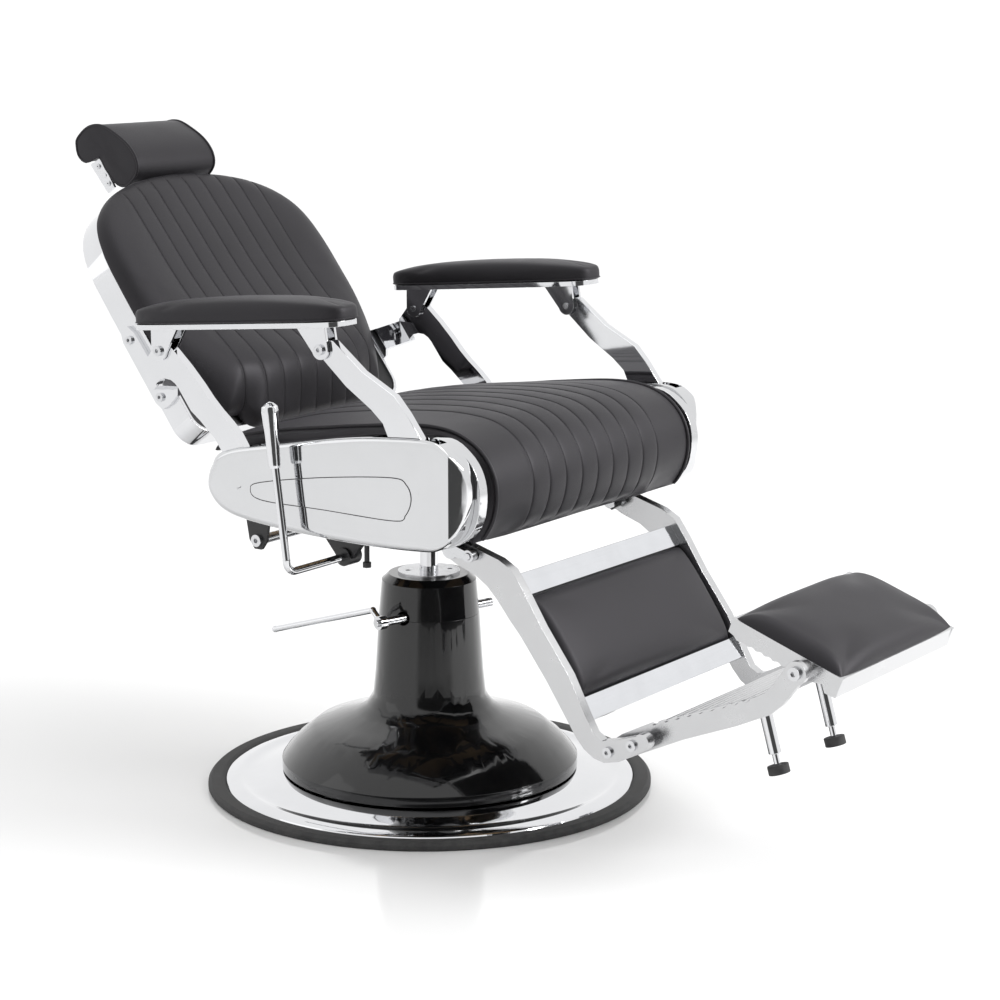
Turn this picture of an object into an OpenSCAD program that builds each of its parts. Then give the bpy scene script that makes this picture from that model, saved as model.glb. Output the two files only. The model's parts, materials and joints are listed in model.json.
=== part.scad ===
// Hydraulic barber chair, reclined, lowest height. Millimetres.
// Origin: centre of the base on the floor. +X is the way the sitter faces, +Y the sitter's left, +Z up.
// Side outlines are lists of [x, z] points, extruded along Y.

/* [Base] */
// Outer radius of the rubber floor ring
base_r = 360; // [330:5:380]
// Outer radius of the bell's lower rim
bell_r = 240; // [210:5:260]
// Height of the seam between column and collar
seam_z = 283; // [278:1:288]
// Height of the top of the pump cap
cap_z = 351; // [348:1:354]

/* [Lift] */
// Radius of the hydraulic ram
ram_r = 15; // [12:1:18]

/* [Seat] */
// Half width of the seat cushion
seat_half_w = 266; // [250:1:270]
// Outer face of the side covers, from the middle of the chair
cover_y = 338; // [337:1:342]

/* [Back] */
// Recline of the backrest from vertical, degrees
back_tilt = 36.5; // [30:0.5:38]
// Half width of the backrest frame
back_half_w = 262; // [255:1:262]
// Height of the backrest frame along its own slope
back_h = 470; // [455:5:475]

/* [Armrests] */
// Middle of the arms, from the middle of the chair
arm_y = 323; // [322:0.5:324]
// Thickness of the arms
arm_t = 14; // [10:1:15]
// Width of the armrest pads
arm_pad_w = 82; // [70:1:90]

/* [Leg rest] */
// Outer face of the leg rest bars, from the middle of the chair
leg_y = 235; // [230:1:240]
// Thickness of the leg rest bars
leg_t = 17; // [12:1:18]
// Half width of the flip-over foot pad
pad_half_w = 176; // [150:1:180]

/* [Hidden] */
$fn = 64;
eps = 0.01;
run = 0.05; // radial clearance of a running fit
wall = 4;
arm_in = arm_y - arm_t / 2;
arm_out = arm_y + arm_t / 2;
recline_p = [-95, 545]; // backrest pivot
arm_rear_p = [-263, 722]; // armrest bolt at the rear arm
arm_front_p = [55, 749]; // armrest bolt at the front arm
front_p = recline_p + arm_front_p - arm_rear_p; // front arm pivot closes the parallelogram
arm_slope = atan2(arm_front_p[1] - arm_rear_p[1], arm_front_p[0] - arm_rear_p[0]);
arm_span = norm(arm_front_p - arm_rear_p);
leg_p = [220, 455]; // leg rest pivot
pad_p = [779, 346]; // foot pad pivot
lever_p = [8, 414]; // recline lever pivot
brace_p = [-117, 434]; // rear brace rod
crank = [38, -4]; // from a cross shaft to its link pin
link_y = -250; // outer face of the link bar
lock_y = -57; // axis of the recline lock
lock_crank = 45;
lock_z = recline_p[1] - lock_crank + 2; // the crank pin rises and falls 3 mm in the lock's eye
recline_shaft_r = 12;
leg_shaft_r = 10;
bolt_r = 5;
back_foot = [-268, 570]; // foot of the backrest frame, mid-depth of its side
frame_d = 22; // half depth of the backrest frame
shaft_z = 287; // pump shaft height
shaft_off = 29; // pump shaft, distance from the ram's axis
shaft_yaw = -15.6; // pump shaft, turned away from the Y axis
side_cover_line = [
    [-174, 529], [-168, 507], [-144, 486], [-87, 475], [5, 468], [125, 465], [226, 468], [268, 476],
    [298, 504], [309, 551], [303, 594], [280, 623], [248, 634], [172, 631], [97, 623], [-20, 603], [-137, 580],
    [-164, 556]];
side_panel_line = [
    [-173, 529], [-167, 508], [-143, 487], [-87, 476], [5, 469], [125, 466], [226, 468], [276, 478],
    [308, 506], [318, 546], [312, 584], [290, 613], [252, 632], [172, 630], [97, 622], [-20, 602], [-137, 579],
    [-163, 556]];

// ---- helpers

// Point on a closed Catmull-Rom curve between b and c
function curve(a, b, c, d, t) =
    0.5 * (2 * b + (c - a) * t + (2 * a - 5 * b + 4 * c - d) * t * t + (3 * b - a - 3 * c + d) * t * t * t);

// Closed smooth outline through the points, n steps between two of them
function smooth(p, n = 4) = let (m = len(p)) [
    for (i = [0:m - 1], k = [0:n - 1])
        curve(p[(i + m - 1) % m], p[i], p[(i + 1) % m], p[(i + 2) % m], k / n)];

// Solid with an [x, z] outline, from y0 to y1
module slab(y0, y1) {
    translate([0, y1, 0]) rotate([90, 0, 0]) linear_extrude(height = y1 - y0) children();
}

// Cylinder along Y through the [x, z] point p
module rod_y(p, r, y0, y1) {
    translate([p[0], y1, p[1]]) rotate([90, 0, 0]) cylinder(r = r, h = y1 - y0);
}

// Straight round rod from a to b
module rod(a, b, r) {
    v = b - a;
    translate(a) rotate([0, acos(v[2] / norm(v)), atan2(v[1], v[0])]) cylinder(r = r, h = norm(v), $fn = 32);
}

// Both sides of the chair
module both_sides() {
    children();
    mirror([0, 1, 0]) children();
}

// Socket-head bolt along Y: shank from the head inwards, head outwards, at the [x, z] point p
module bolt_y(p, y_head, len, r = bolt_r) {
    difference() {
        union() {
            rod_y(p, r, y_head, y_head + len);
            rod_y(p, r * 1.6, y_head - r * 0.9, y_head);
        }
        translate([p[0], y_head - r * 0.9 - eps, p[1]]) rotate([-90, 0, 0]) cylinder(r = r * 0.7, h = r * 0.7, $fn = 6);
    }
}

// Backrest's own axes: X out of its front, Y across, Z up its slope
module on_back() {
    translate([back_foot[0], 0, back_foot[1]]) rotate([0, -back_tilt, 0]) children();
}

// Armrest's own axes: origin at its rear bolt, X forward along its slope
module on_armrest() {
    translate([arm_rear_p[0], 0, arm_rear_p[1]]) rotate([0, -arm_slope, 0]) children();
}

// Backrest outline [y, u]: straight or narrowing sides and an arched top
function back_outline(w, h, u_low, narrow, r) = let (
    u0 = 235,
    us = [for (k = [0:8]) u_low + r + (u0 - u_low - r) * k / 8],
    side = function (u) w - narrow * pow((u0 - u) / u0, 2),
    low = [for (a = [0:15:75]) [side(u_low + r) - r + r * sin(a), u_low + r - r * cos(a)]],
    mid = [for (u = us) [side(u), u]],
    top = [for (a = [5:5:90]) [w * cos(a), u0 + (h - u0) * sqrt(sin(a))]],
    half = concat(low, mid, top),
    n = len(half))
    concat(half, [for (i = [n - 2:-1:0]) [-half[i][0], half[i][1]]]);

// Slab of the backrest from depth w0 to w1
module back_slab(w0, w1) {
    translate([w0, 0, 0]) rotate([90, 0, 90]) linear_extrude(height = w1 - w0) children();
}

// ---- base

module floor_ring() {
    color("#2b2b2d") rotate_extrude($fn = 128)
        polygon([[base_r - 28, 0], [base_r - 2, 0], [base_r, 3], [base_r, 9], [base_r - 5, 14],
            [base_r - 20, 14], [base_r - 28, 11]]);
}

module base_disc() {
    color("#d9dbde") rotate_extrude($fn = 128)
        polygon([[0, 0], [base_r - 28, 0], [base_r - 28, 11], [base_r - 34, 14], [base_r - 52, 17],
            [base_r - 60, 16], [0, 16]]);
}

// Outer profile of the bell, from the rim up
bell_line = [[bell_r, 29], [bell_r, 45], [bell_r - 8, 56], [bell_r - 24, 73], [bell_r - 53, 96],
    [bell_r - 90, 108], [bell_r - 120, 119], [bell_r - 138, 131], [91, 149], [87, 190], [81, seam_z]];

module column_shell() {
    inner = [[75, seam_z], [75, 270], [62, 270], [62, 262], [75, 262], [81, 190], [85, 147], [97, 124],
        [bell_r - 122, 112], [bell_r - 92, 101], [bell_r - 57, 89], [bell_r - 30, 67],
        [bell_r - 13, 51], [bell_r - 6, 42], [bell_r - 6, 29]];
    color("#141416") difference() {
        rotate_extrude($fn = 96) polygon(concat(bell_line, inner));
        shaft_place() rotate([90, 0, 0]) cylinder(r = 11, h = 220, center = true);
    }
}

module shaft_place() {
    rotate([0, 0, shaft_yaw]) translate([shaft_off, 0, shaft_z]) children();
}

module pump_collar() {
    color("#141416") difference() {
        rotate_extrude($fn = 96)
            polygon([[62.5, seam_z], [81, seam_z], [76, 337], [65, 347], [50, 347], [50, 341], [62.5, 341]]);
        shaft_place() rotate([90, 0, 0]) cylinder(r = 11, h = 220, center = true);
    }
}

module pump_body() {
    color("#1b1b1d") difference() {
        union() {
            translate([0, 0, 16]) cylinder(r = 62, h = 324);
            translate([0, 0, 16]) cylinder(r = 100, h = 12);
        }
        translate([0, 0, 40]) cylinder(r = ram_r + 3, h = 400);
        shaft_place() rotate([90, 0, 0]) cylinder(r = 7 + run, h = 220, center = true);
    }
}

module top_cap() {
    color("#cfd1d4") difference() {
        translate([0, 0, 340]) cylinder(r = 50, h = cap_z - 340);
        translate([0, 0, 330]) cylinder(r = ram_r + run, h = 40);
        for (a = [45:90:315]) rotate([0, 0, a]) translate([34, 0, 343]) cylinder(r = 4, h = 20);
    }
}

module cap_screws() {
    color("#3a3a3d") for (a = [45:90:315]) rotate([0, 0, a]) translate([34, 0, 343])
        cylinder(r = 3.9, h = 5);
}

// ---- pump lever

eye_y = -118; // middle of the lever's eye
eye_half = 6.5;

module pump_shaft() {
    color("#c4c6ca") shaft_place() difference() {
        union() {
            rod_y([0, 0], 7, eye_y + eye_half, 104);
            rod_y([0, 0], 3, eye_y - eye_half, eye_y + eye_half);
            rod_y([0, 0], 6, eye_y - eye_half - 4, eye_y - eye_half);
        }
        translate([0, 97, 0]) cylinder(r = 3, h = 30, center = true);
    }
}

module pump_lever_rod() {
    eye = [0, eye_y, 0];
    bend = [-22, eye_y, 16];
    tip = [-216, eye_y - 54, -44];
    color("#d9dbde") shaft_place() difference() {
        union() {
            rod_y([0, 0], 11, eye_y - eye_half, eye_y + eye_half);
            rod(eye, bend, 5);
            rod(bend, tip, 5);
            translate(bend) sphere(r = 5.8);
            translate(tip) sphere(r = 5.8);
        }
        rod_y([0, 0], 3, eye_y - 20, eye_y + 20);
    }
}

// ---- lift

module lift_ram() {
    color("#c4c6ca") union() {
        translate([0, 0, 60]) cylinder(r = ram_r, h = 379);
        translate([0, 0, 60]) cylinder(r = ram_r + 2.8, h = 12);
    }
}

// ---- seat

board_slope = 5;
board_z = 560; // underside of the seat board above the recline shaft

function board_at(x) = board_z + (x - recline_p[0]) * tan(board_slope);

module swivel_hub() {
    color("#2a2b2e") difference() {
        translate([0, 0, 390]) cylinder(r = 42, h = 60);
        translate([0, 0, 380]) cylinder(r = ram_r + run, h = 59.2);
    }
}

module seat_frame() {
    plate = [[-165, 552], [-165, 505], [-143, 484], [-134, 434], [-124, 420], [-110, 420], [-100, 434],
        [-92, 484], [262, 484], [285, 520], [270, 572], [244, board_at(244) - 1],
        [-120, board_at(-120) - 1]];
    lug = [[200, 496], [206, 450], [220, 441], [234, 450], [240, 496]];
    color("#2a2b2e") difference() {
        union() {
            translate([-100, -85, 450]) cube([200, 170, 8]);
            for (x = [-75, 45]) translate([x, -282, 458]) cube([30, 564, 22]);
            translate([203, -282, 494]) cube([43, 564, 18]);
            both_sides() {
                slab(-282, -276) polygon(plate);
                slab(-206, -198) polygon(lug);
                for (x = [-160, 200]) translate([x, -278, board_at(x) - 8]) cube([30, 34, 6]);
            }
        }
        rod_y(recline_p, recline_shaft_r + run, -300, 300);
        rod_y(leg_p, leg_shaft_r + run, -250, 250);
        rod_y(brace_p, 8, -310, 310);
        rod_y(front_p, 8, -310, 310);
    }
}

cover_in = 303; // inner rim of the side covers, where they meet the side panels

// Shell of one side cover, open towards the seat, with slots in its top for the arms
module side_cover() {
    color("#e3e5e8") difference() {
        slab(-cover_y, -cover_in) polygon(smooth(side_cover_line));
        slab(-cover_y + wall, -cover_in + 1) offset(delta = -wall) polygon(smooth(side_cover_line));
        translate([148, -arm_out - 3, 560]) cube([120, arm_t + 6, 120]);
        translate([-180, -arm_out - 3, 545]) cube([116, arm_t + 6, 120]);
        slab(-cover_y - 1, -cover_y + 1.2) inset_line();
    }
}

module inset_line() {
    polygon(smooth([[-81, 528], [-60, 540], [57, 560], [186, 574], [214, 566], [222, 545], [212, 522],
        [190, 511], [60, 512], [-60, 513]]));
}

module inset_panels() {
    color("#dcdee1") both_sides() slab(-cover_y - 0.6, -cover_y + 1.2) inset_line();
}

// Dished panels behind the covers, whose rims carry on the covers' outline
module side_panels() {
    color("#e3e5e8") both_sides() difference() {
        slab(-cover_in + 0.4, -283) polygon(smooth(side_panel_line));
        slab(-cover_in + 0.4 + wall, -282) offset(delta = -wall) polygon(smooth(side_panel_line));
        rod_y(recline_p, recline_shaft_r + 1, -cover_in - 1, -270);
        rod_y(front_p, 9, -cover_in - 1, -270);
    }
}

module seat_board() {
    color("#8b6a45") slab(-262, 262) polygon([[-200, board_at(-200)], [245, board_at(245)],
        [245, board_at(245) + 12], [-200, board_at(-200) + 12]]);
}

module seat_cushion() {
    color("#26252a") slab(-seat_half_w, seat_half_w) polygon([
        [-207, 570], [-203, 580], [-185, 593], [-150, 604], [-70, 626], [51, 642], [139, 648], [195, 649],
        [250, 643], [285, 625], [308, 600], [320, 570], [321, 545], [315, 512], [300, 488], [286, 479],
        [262, 479], [254, 500], [248, 560], [248, board_at(248) + 12.3], [-200, board_at(-200) + 12.3],
        [-207, 563]]);
}

module front_arm_pins() {
    color("#c4c6ca") both_sides() rod_y(front_p, 8, -333.5, -274);
}

module rear_brace() {
    color("#3a3b3e") union() {
        rod_y(brace_p, 8, -282, 282);
        both_sides() bolt_y(brace_p, -282, 4, 6);
    }
}

module lever_bracket() {
    line = [[-45, 457.9], [-6, 412], [8, 401], [22, 412], [58, 457.9]];
    color("#1b1b1d") difference() {
        union() {
            slab(-226, -216) polygon(line);
            translate([-45, -226, 450]) cube([103, 10, 7.9]);
            rod_y(lever_p, 14, -230, -200);
            translate([48, -221, 408]) cylinder(r = 4, h = 46);
            translate([48, -221, 402]) cylinder(r = 7, h = 8, $fn = 6);
        }
        rod_y(lever_p, 6 + run, -260, -190);
    }
}

module seat_bumpers() {
    color("#1b1b1d") both_sides() for (y = [-180, -155]) translate([236, y, 466]) union() {
        cylinder(r = 9, h = 10);
        translate([0, 0, 10]) cylinder(r = 3, h = 18);
    }
}

module lock_cylinder() {
    color("#3a3b3e") difference() {
        rod([-10, lock_y, lock_z], [202.9, lock_y, lock_z], 12);
        rod([-11, lock_y, lock_z], [110, lock_y, lock_z], 5 + run);
    }
}

// ---- backrest

module back_frame() {
    color("#e3e5e8") on_back() difference() {
        back_slab(-frame_d, frame_d) polygon(back_outline(back_half_w, back_h - 8, 0, 0, 34));
        back_slab(-frame_d - 1, frame_d + 1) polygon(back_outline(back_half_w - 6, back_h - 14, 6, 0, 28));
    }
}

module back_panel() {
    color("#1b1b1d") on_back() back_slab(-frame_d + 4, frame_d - 4)
        polygon(back_outline(back_half_w - 6, back_h - 14, 6, 0, 28));
}

module back_cushion() {
    color("#26252a") on_back() union() {
        back_slab(frame_d + 0.1, 46) polygon(back_outline(back_half_w - 1, back_h, -8, 75, 40));
        back_slab(46, 60) polygon(back_outline(back_half_w - 16, back_h - 16, -2, 75, 40));
    }
}

module recline_shaft() {
    link_pin = recline_p + crank;
    lock_pin = recline_p - [0, lock_crank];
    color("#8f9296") union() {
        rod_y(recline_p, recline_shaft_r, -arm_out, arm_out);
        slab(link_y + 7, link_y + 13) crank_arm(recline_p, link_pin);
        rod_y(link_pin, 5, link_y - 2, link_y + 10);
        slab(lock_y - 17, lock_y - 9) crank_arm(recline_p, lock_pin);
        rod_y(lock_pin, 5, lock_y - 13, lock_y + 8);
    }
}

// Flat crank from the [x, z] point p to the pin at q
module crank_arm(p, q) {
    translate(p) circle(r = 14);
    translate(q) circle(r = 9);
    translate(p) rotate(atan2(q[1] - p[1], q[0] - p[0])) translate([0, -9]) square([norm(q - p), 18]);
}

// Rear arm: main plate, web bent inwards, and the strap on the side of the backrest frame
module rear_arm() {
    line = [[-263, 737], [-250, 734], [-236, 723], [-211, 701], [-186, 676], [-168, 656], [-151, 640],
        [-130, 623], [-113, 607], [-102, 591], [-78, 552], [-112, 540], [-133, 562], [-146, 580],
        [-158, 596], [-172, 608], [-186, 620], [-205, 634], [-217, 650], [-229, 666], [-236, 673],
        [-245, 678], [-257, 679], [-268, 676], [-277, 667], [-283, 666], [-300, 694], [-299, 701],
        [-291, 710], [-280, 724]];
    color("#e3e5e8") difference() {
        union() {
            slab(-arm_out, -arm_in) polygon(line);
            rod_y(arm_rear_p, 15, -arm_out, -arm_in);
            rod_y(recline_p, 20, -arm_out, -arm_in);
            on_back() slab(-back_half_w - 7, -back_half_w - 0.2)
                polygon([[-20, 196], [-14, 212], [4, 212], [10, 196], [12, 140], [24, 124], [36, 120],
                    [36, 80], [28, 70], [4, 66], [-14, 68], [-20, 84]]);
            arm_web();
        }
        rod_y(arm_rear_p, bolt_r + run, -arm_out - 1, -arm_in + 1);
        rod_y(recline_p, recline_shaft_r, -arm_out - 1, -arm_in + 1);
    }
}

// Web that runs inwards from the arm plate's rear edge to the strap
module arm_web() {
    on_back() translate([0, 0, 80]) linear_extrude(height = 40)
        polygon([[52, -arm_out], [43, -arm_out], [27, -268], [27, -back_half_w - 0.2],
            [36, -back_half_w - 0.2], [36.5, -266], [51, -arm_in]]);
}

module back_bolts() {
    color("#c4c6ca") both_sides() on_back()
        for (u = [86, 192]) bolt_y([-5, u], -back_half_w - 7, 10, 4.5);
}

module headrest_guide() {
    color("#cfd1d4") on_back() difference() {
        translate([-frame_d - 24, -34, 330]) cube([28, 68, 70]);
        translate([-frame_d - 16.3, -20.3, 320]) cube([8.6, 40.6, 90]);
    }
}

// ---- arms

module front_arm() {
    line = [[55, 764], [75, 763], [128, 722], [186, 692], [208, 668], [233, 635], [243, 600], [243, 572],
        [203, 572], [188, 600], [175, 629], [165, 650], [144, 668], [98, 698], [55, 735], [42, 749]];
    color("#e3e5e8") difference() {
        union() {
            slab(-arm_out, -arm_in) polygon(line);
            rod_y(arm_front_p, 15, -arm_out, -arm_in);
            rod_y(front_p, 20, -arm_out, -arm_in);
        }
        rod_y(front_p, 8 + run, -arm_out - 1, -arm_in + 1);
        rod_y(arm_front_p, bolt_r + 0.4, -arm_out - 1, -arm_in + 1);
    }
}

ear_t = 5;
ear_gap = 1;

module armrest_plate() {
    color("#e3e5e8") on_armrest() difference() {
        union() {
            translate([0, -arm_y, 34]) linear_extrude(height = 8) arm_plan(3);
            for (x = [0, arm_span], y = [-arm_out - ear_gap - ear_t, -arm_in + ear_gap])
                translate([x, 0, 0]) slab(y, y + ear_t) ear_line(x == 0 ? 1 : -1);
        }
        for (x = [0, arm_span]) rod_y([x, 0], bolt_r, -arm_out - 20, -arm_in + 20);
    }
}

// Ear that widens upwards, leaning along s
module ear_line(s) {
    circle(r = 15);
    polygon([[-15 * s, 0], [-12 * s, 34.5], [42 * s, 34.5], [13 * s, -6]]);
}

// Plan outline of the armrest, inset all round
module arm_plan(inset) {
    x0 = -37 + inset;
    x1 = 371 - inset;
    w = arm_pad_w / 2 - inset;
    polygon(smooth([[x0, 0], [x0 + 5, w * 0.7], [x0 + 32, w * 0.96], [x0 + 120, w], [x1 - 100, w],
        [x1 - 28, w * 0.92], [x1 - 5, w * 0.62], [x1, 0], [x1 - 5, -w * 0.62], [x1 - 28, -w * 0.92],
        [x1 - 100, -w], [x0 + 120, -w], [x0 + 32, -w * 0.96], [x0 + 5, -w * 0.7]], 3));
}

module armrest_pad() {
    color("#26252a") on_armrest() translate([0, -arm_y, 42]) union() {
        linear_extrude(height = 22) arm_plan(0);
        translate([0, 0, 22]) linear_extrude(height = 8) arm_plan(12);
    }
}

module armrest_bolts() {
    color("#c4c6ca") on_armrest() for (x = [0, arm_span])
        bolt_y([x, 0], -arm_out - ear_gap - ear_t, arm_t + 2 * ear_gap + 2 * ear_t + 2);
}

// ---- recline lever

lever_out = -363; // plane of the lever's upright
lever_corner = 20;
handle_foot = [-11.5, 571];

module lever_rod() {
    foot = lever_p + [0, lever_corner];
    color("#d9dbde") union() {
        rod_y(lever_p, 6, lever_out + lever_corner, -196);
        translate([foot[0], lever_out + lever_corner, foot[1]]) rotate([90, 0, 90]) rotate([0, 0, 180])
            rotate_extrude(angle = 90, $fn = 64) translate([lever_corner, 0]) circle(r = 6, $fn = 32);
        rod([foot[0], lever_out, foot[1]], [handle_foot[0], lever_out, handle_foot[1] + 10], 5.8);
    }
}

module lever_handle() {
    color("#e3e5e8") translate([handle_foot[0], lever_out, handle_foot[1]]) rotate([0, -5, 0])
        rotate_extrude() polygon([[0, 10.2], [5.9, 10], [5.9, 0], [8, 0], [9, 4], [10.5, 50], [13, 84],
            [12, 92], [6, 97], [0, 99]]);
}

// ---- linkage

module lock_rod() {
    eye = [recline_p[0], lock_z];
    color("#c4c6ca") difference() {
        union() {
            rod([recline_p[0] + 14, lock_y, lock_z], [60, lock_y, lock_z], 5);
            rod_y(eye, 17, lock_y - 6, lock_y + 6);
        }
        rod_y(eye, 11, lock_y - 10, lock_y + 10);
    }
}

module link_bar() {
    a = recline_p + crank;
    b = leg_p + crank;
    slope = atan2(b[1] - a[1], b[0] - a[0]);
    color("#8f9296") difference() {
        union() {
            rod_y(a, 9.5, link_y, link_y + 6);
            rod_y(b, 9.5, link_y, link_y + 6);
            translate([a[0], link_y, a[1]]) rotate([0, -slope, 0]) translate([0, 0, -6])
                cube([norm(b - a), 6, 12]);
        }
        rod_y(a, 5 + run, link_y - 1, link_y + 9);
        rod_y(b, 5.3, link_y - 1, link_y + 9);
    }
}

// ---- leg rest

// Stub shafts of the leg rest's two bars, the right one with the crank for the link bar
module leg_shaft() {
    link_pin = leg_p + crank;
    stub = 190;
    color("#8f9296") union() {
        rod_y(leg_p, leg_shaft_r, link_y + 7, -stub);
        rod_y(leg_p, leg_shaft_r, stub, leg_y + 2);
        slab(link_y + 7, link_y + 13) crank_arm(leg_p, link_pin);
        rod_y(link_pin, 5, link_y - 2, link_y + 10);
    }
}

module leg_bar() {
    line = [[205, 444], [226, 433], [262, 420], [282, 407], [300, 389], [322, 362], [342, 340], [387, 281],
        [420, 233], [438, 206], [453, 189], [470, 178], [488, 174], [514, 180], [559, 205], [552, 226],
        [510, 212], [484, 206], [470, 214], [456, 238], [426, 294], [379, 357], [345, 410], [326, 436],
        [303, 449], [252, 464], [228, 470]];
    color("#d3d5d8") difference() {
        union() {
            slab(-leg_y, -leg_y + leg_t) polygon(line);
            rod_y(leg_p, 17, -leg_y, -leg_y + leg_t);
            rod_y([551, 215], 12, -leg_y, -leg_y + leg_t);
        }
        for (p = step_bolts) rod_y(p, bolt_r, -leg_y - 1, -leg_y + leg_t + 1);
        rod_y(leg_p, leg_shaft_r, -leg_y - 1, -leg_y + leg_t + 1);
    }
}

step_bolts = [[495, 191], [535, 208]];
calf_top = [319, 425]; // front face of the leg frame, top
calf_low = [457, 229]; // and bottom
calf_dir = (calf_low - calf_top) / norm(calf_low - calf_top);
calf_len = norm(calf_low - calf_top);

// Leg rest's own axes: X down its slope, Z out of its front face
module on_calf() {
    translate([calf_top[0], 0, calf_top[1]]) rotate([0, atan2(-calf_dir[1], calf_dir[0]), 0]) children();
}

module leg_cross_bars() {
    inner = leg_y - leg_t;
    color("#d3d5d8") on_calf() for (x = [0, calf_len - 35]) translate([x, -inner, -9]) cube([35, 2 * inner, 9]);
}

module calf_board() {
    inner = leg_y - leg_t - 1;
    color("#1b1b1d") on_calf() translate([4, -inner, -20]) cube([calf_len - 8, 2 * inner, 11]);
}

module calf_pad() {
    inner = leg_y - leg_t - 3;
    color("#26252a") on_calf() translate([36, -inner, -9]) cube([calf_len - 72, 2 * inner, 12]);
}

module leg_bolts() {
    color("#c4c6ca") both_sides() for (p = step_bolts) bolt_y(p, -leg_y, leg_t + 16, 5);
}

step_in = 196;
step_t = 10;
tread_a = [543, 224];
tread_b = [716, 292];
scallop_r = 9; // scallops cut in the top edge of the step plates and the under edge of the foot pad
scallop_lift = [-2, 5];
tread_slope = atan2(tread_b[1] - tread_a[1], tread_b[0] - tread_a[0]);

module step_plates() {
    line = [[508, 176], [530, 187], [602, 221], [689, 256], [740, 280], [760, 297], [782, 326], [792, 340],
        [790, 356], [776, 362], [764, 352], [746, 326], [732, 311], [716, 302], [660, 280], [543, 234],
        [500, 212], [484, 200], [486, 182]];
    color("#d3d5d8") both_sides() difference() {
        union() {
            slab(-step_in - step_t, -step_in) polygon(line);
            rod_y(pad_p, 17, -step_in - step_t, -step_in);
            for (p = step_bolts) rod_y(p, 11, -leg_y + leg_t, -step_in);
        }
        for (p = step_bolts) rod_y(p, bolt_r, -leg_y - 1, -step_in + 1);
        rod_y(pad_p, 6 + run, -step_in - step_t - 1, -step_in + 1);
        for (i = [0:8]) rod_y(tread_a + [0, 10] + (tread_b - tread_a) * (i + 0.6) / 9.3 + scallop_lift,
            scallop_r, -step_in - step_t - 1, -step_in + 1);
    }
}

module step_tread() {
    n = 9;
    color("#c9cbce") translate([tread_a[0], 0, tread_a[1]]) rotate([0, -tread_slope, 0]) union() {
        translate([0, -step_in, -6]) cube([norm(tread_b - tread_a), 2 * step_in, 8]);
        for (i = [0:n - 1]) translate([10 + i * 20.5, 0, 0]) rod_y([0, 0], 6, -step_in, step_in);
    }
}

leg_foot_top = [662.5, 264];
leg_foot_low = [691, 165];

module step_legs() {
    color("#d9dbde") for (y = [-86, 86]) union() {
        rod([leg_foot_top[0], y, leg_foot_top[1]], [leg_foot_low[0] - 6, y, leg_foot_low[1] + 21], 9.5);
        rod([leg_foot_low[0] - 8, y, leg_foot_low[1] + 28], [leg_foot_low[0], y, leg_foot_low[1]], 5);
    }
}

module step_feet() {
    color("#1b1b1d") for (y = [-86, 86])
        rod([leg_foot_low[0] - 1.5, y, leg_foot_low[1] + 5], [leg_foot_low[0] + 2.5, y, leg_foot_low[1] - 8], 16);
}

// ---- foot pad

pad_ribs = 9; // tread ribs on the pad's underside
pad_rib_pitch = 15;

// Pad's own axes: origin at its pivot, X forward, Z out of its cushioned face
module on_pad() {
    translate([pad_p[0], 0, pad_p[1]]) rotate([0, 19.6, 0]) children();
}

// Tray with a scalloped under edge and bosses for its pivot bolts
module pad_frame() {
    w = pad_half_w;
    side = [[-129, 14], [57, 14], [55, -17], [38, -18], [30, -8], [18, -12], [-40, -14], [-112, -14],
        [-118, -10], [-127, -8]];
    color("#d3d5d8") on_pad() difference() {
        union() {
            translate([-124, -w + 5, -1]) cube([176, 2 * w - 10, 8]);
            for (y = [-w, w - 8]) slab(y, y + 8) polygon(side);
            for (x = [-128, 48]) translate([x, -w, x < 0 ? -8 : -16]) cube([8, 2 * w, x < 0 ? 22 : 30]);
            for (y = [-step_in + 2, w - 5]) rod_y([0, 0], 14, y, y + step_in - w + 3);
            for (i = [0:pad_ribs - 1]) translate([-96 + i * pad_rib_pitch, 0, -1]) rod_y([0, 0], 5, -w + 4, w - 4);
        }
        for (i = [0:5]) rod_y([-100 + i * 14.5, -21], scallop_r, -w - 1, w + 1);
        for (y = [-step_in - 20, w - 20]) rod_y([0, 0], 6, y, y + step_in - w + 40);
    }
}

module pad_cushion() {
    w = pad_half_w - 3;
    color("#26252a") on_pad() translate([-126, -w, 14]) cube([180, 2 * w, 14]);
}

module pad_bolts() {
    color("#c4c6ca") both_sides() bolt_y(pad_p, -step_in - step_t - 0.5, 40, 6);
}

// ---- headrest

tilt_u = 512; // height of the headrest's tilt pin along the back
tilt_w = -frame_d - 12;

module headrest_bar() {
    color("#d9dbde") on_back() difference() {
        union() {
            translate([-frame_d - 16, -20, 300]) cube([8, 40, tilt_u - 300]);
            rod_y([tilt_w, tilt_u], 8, -20, 20);
            rod_y([tilt_w, tilt_u], 4, -94, 94);
        }
    }
}

module headrest_bracket() {
    color("#e3e5e8") on_back() difference() {
        union() {
            both_sides() slab(-93, -88) polygon([[-46, 484], [-28, 484], [-24, 540], [-50, 544]]);
            translate([-30, -90, 522]) cube([6.4, 180, 20]);
        }
        rod_y([tilt_w, tilt_u], 4 + run, -100, 100);
    }
}

module headrest_pillow() {
    color("#26252a") on_back() difference() {
        slab(-96, 96) polygon(smooth([[-54, 592], [-20, 596], [22, 566], [44, 520], [41, 488], [24, 478],
            [0, 480], [-22, 520], [-24, 548], [-56, 552], [-64, 574]], 3));
        translate([-60, -97, 470]) cube([36.5, 194, 76]);
    }
}

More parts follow.
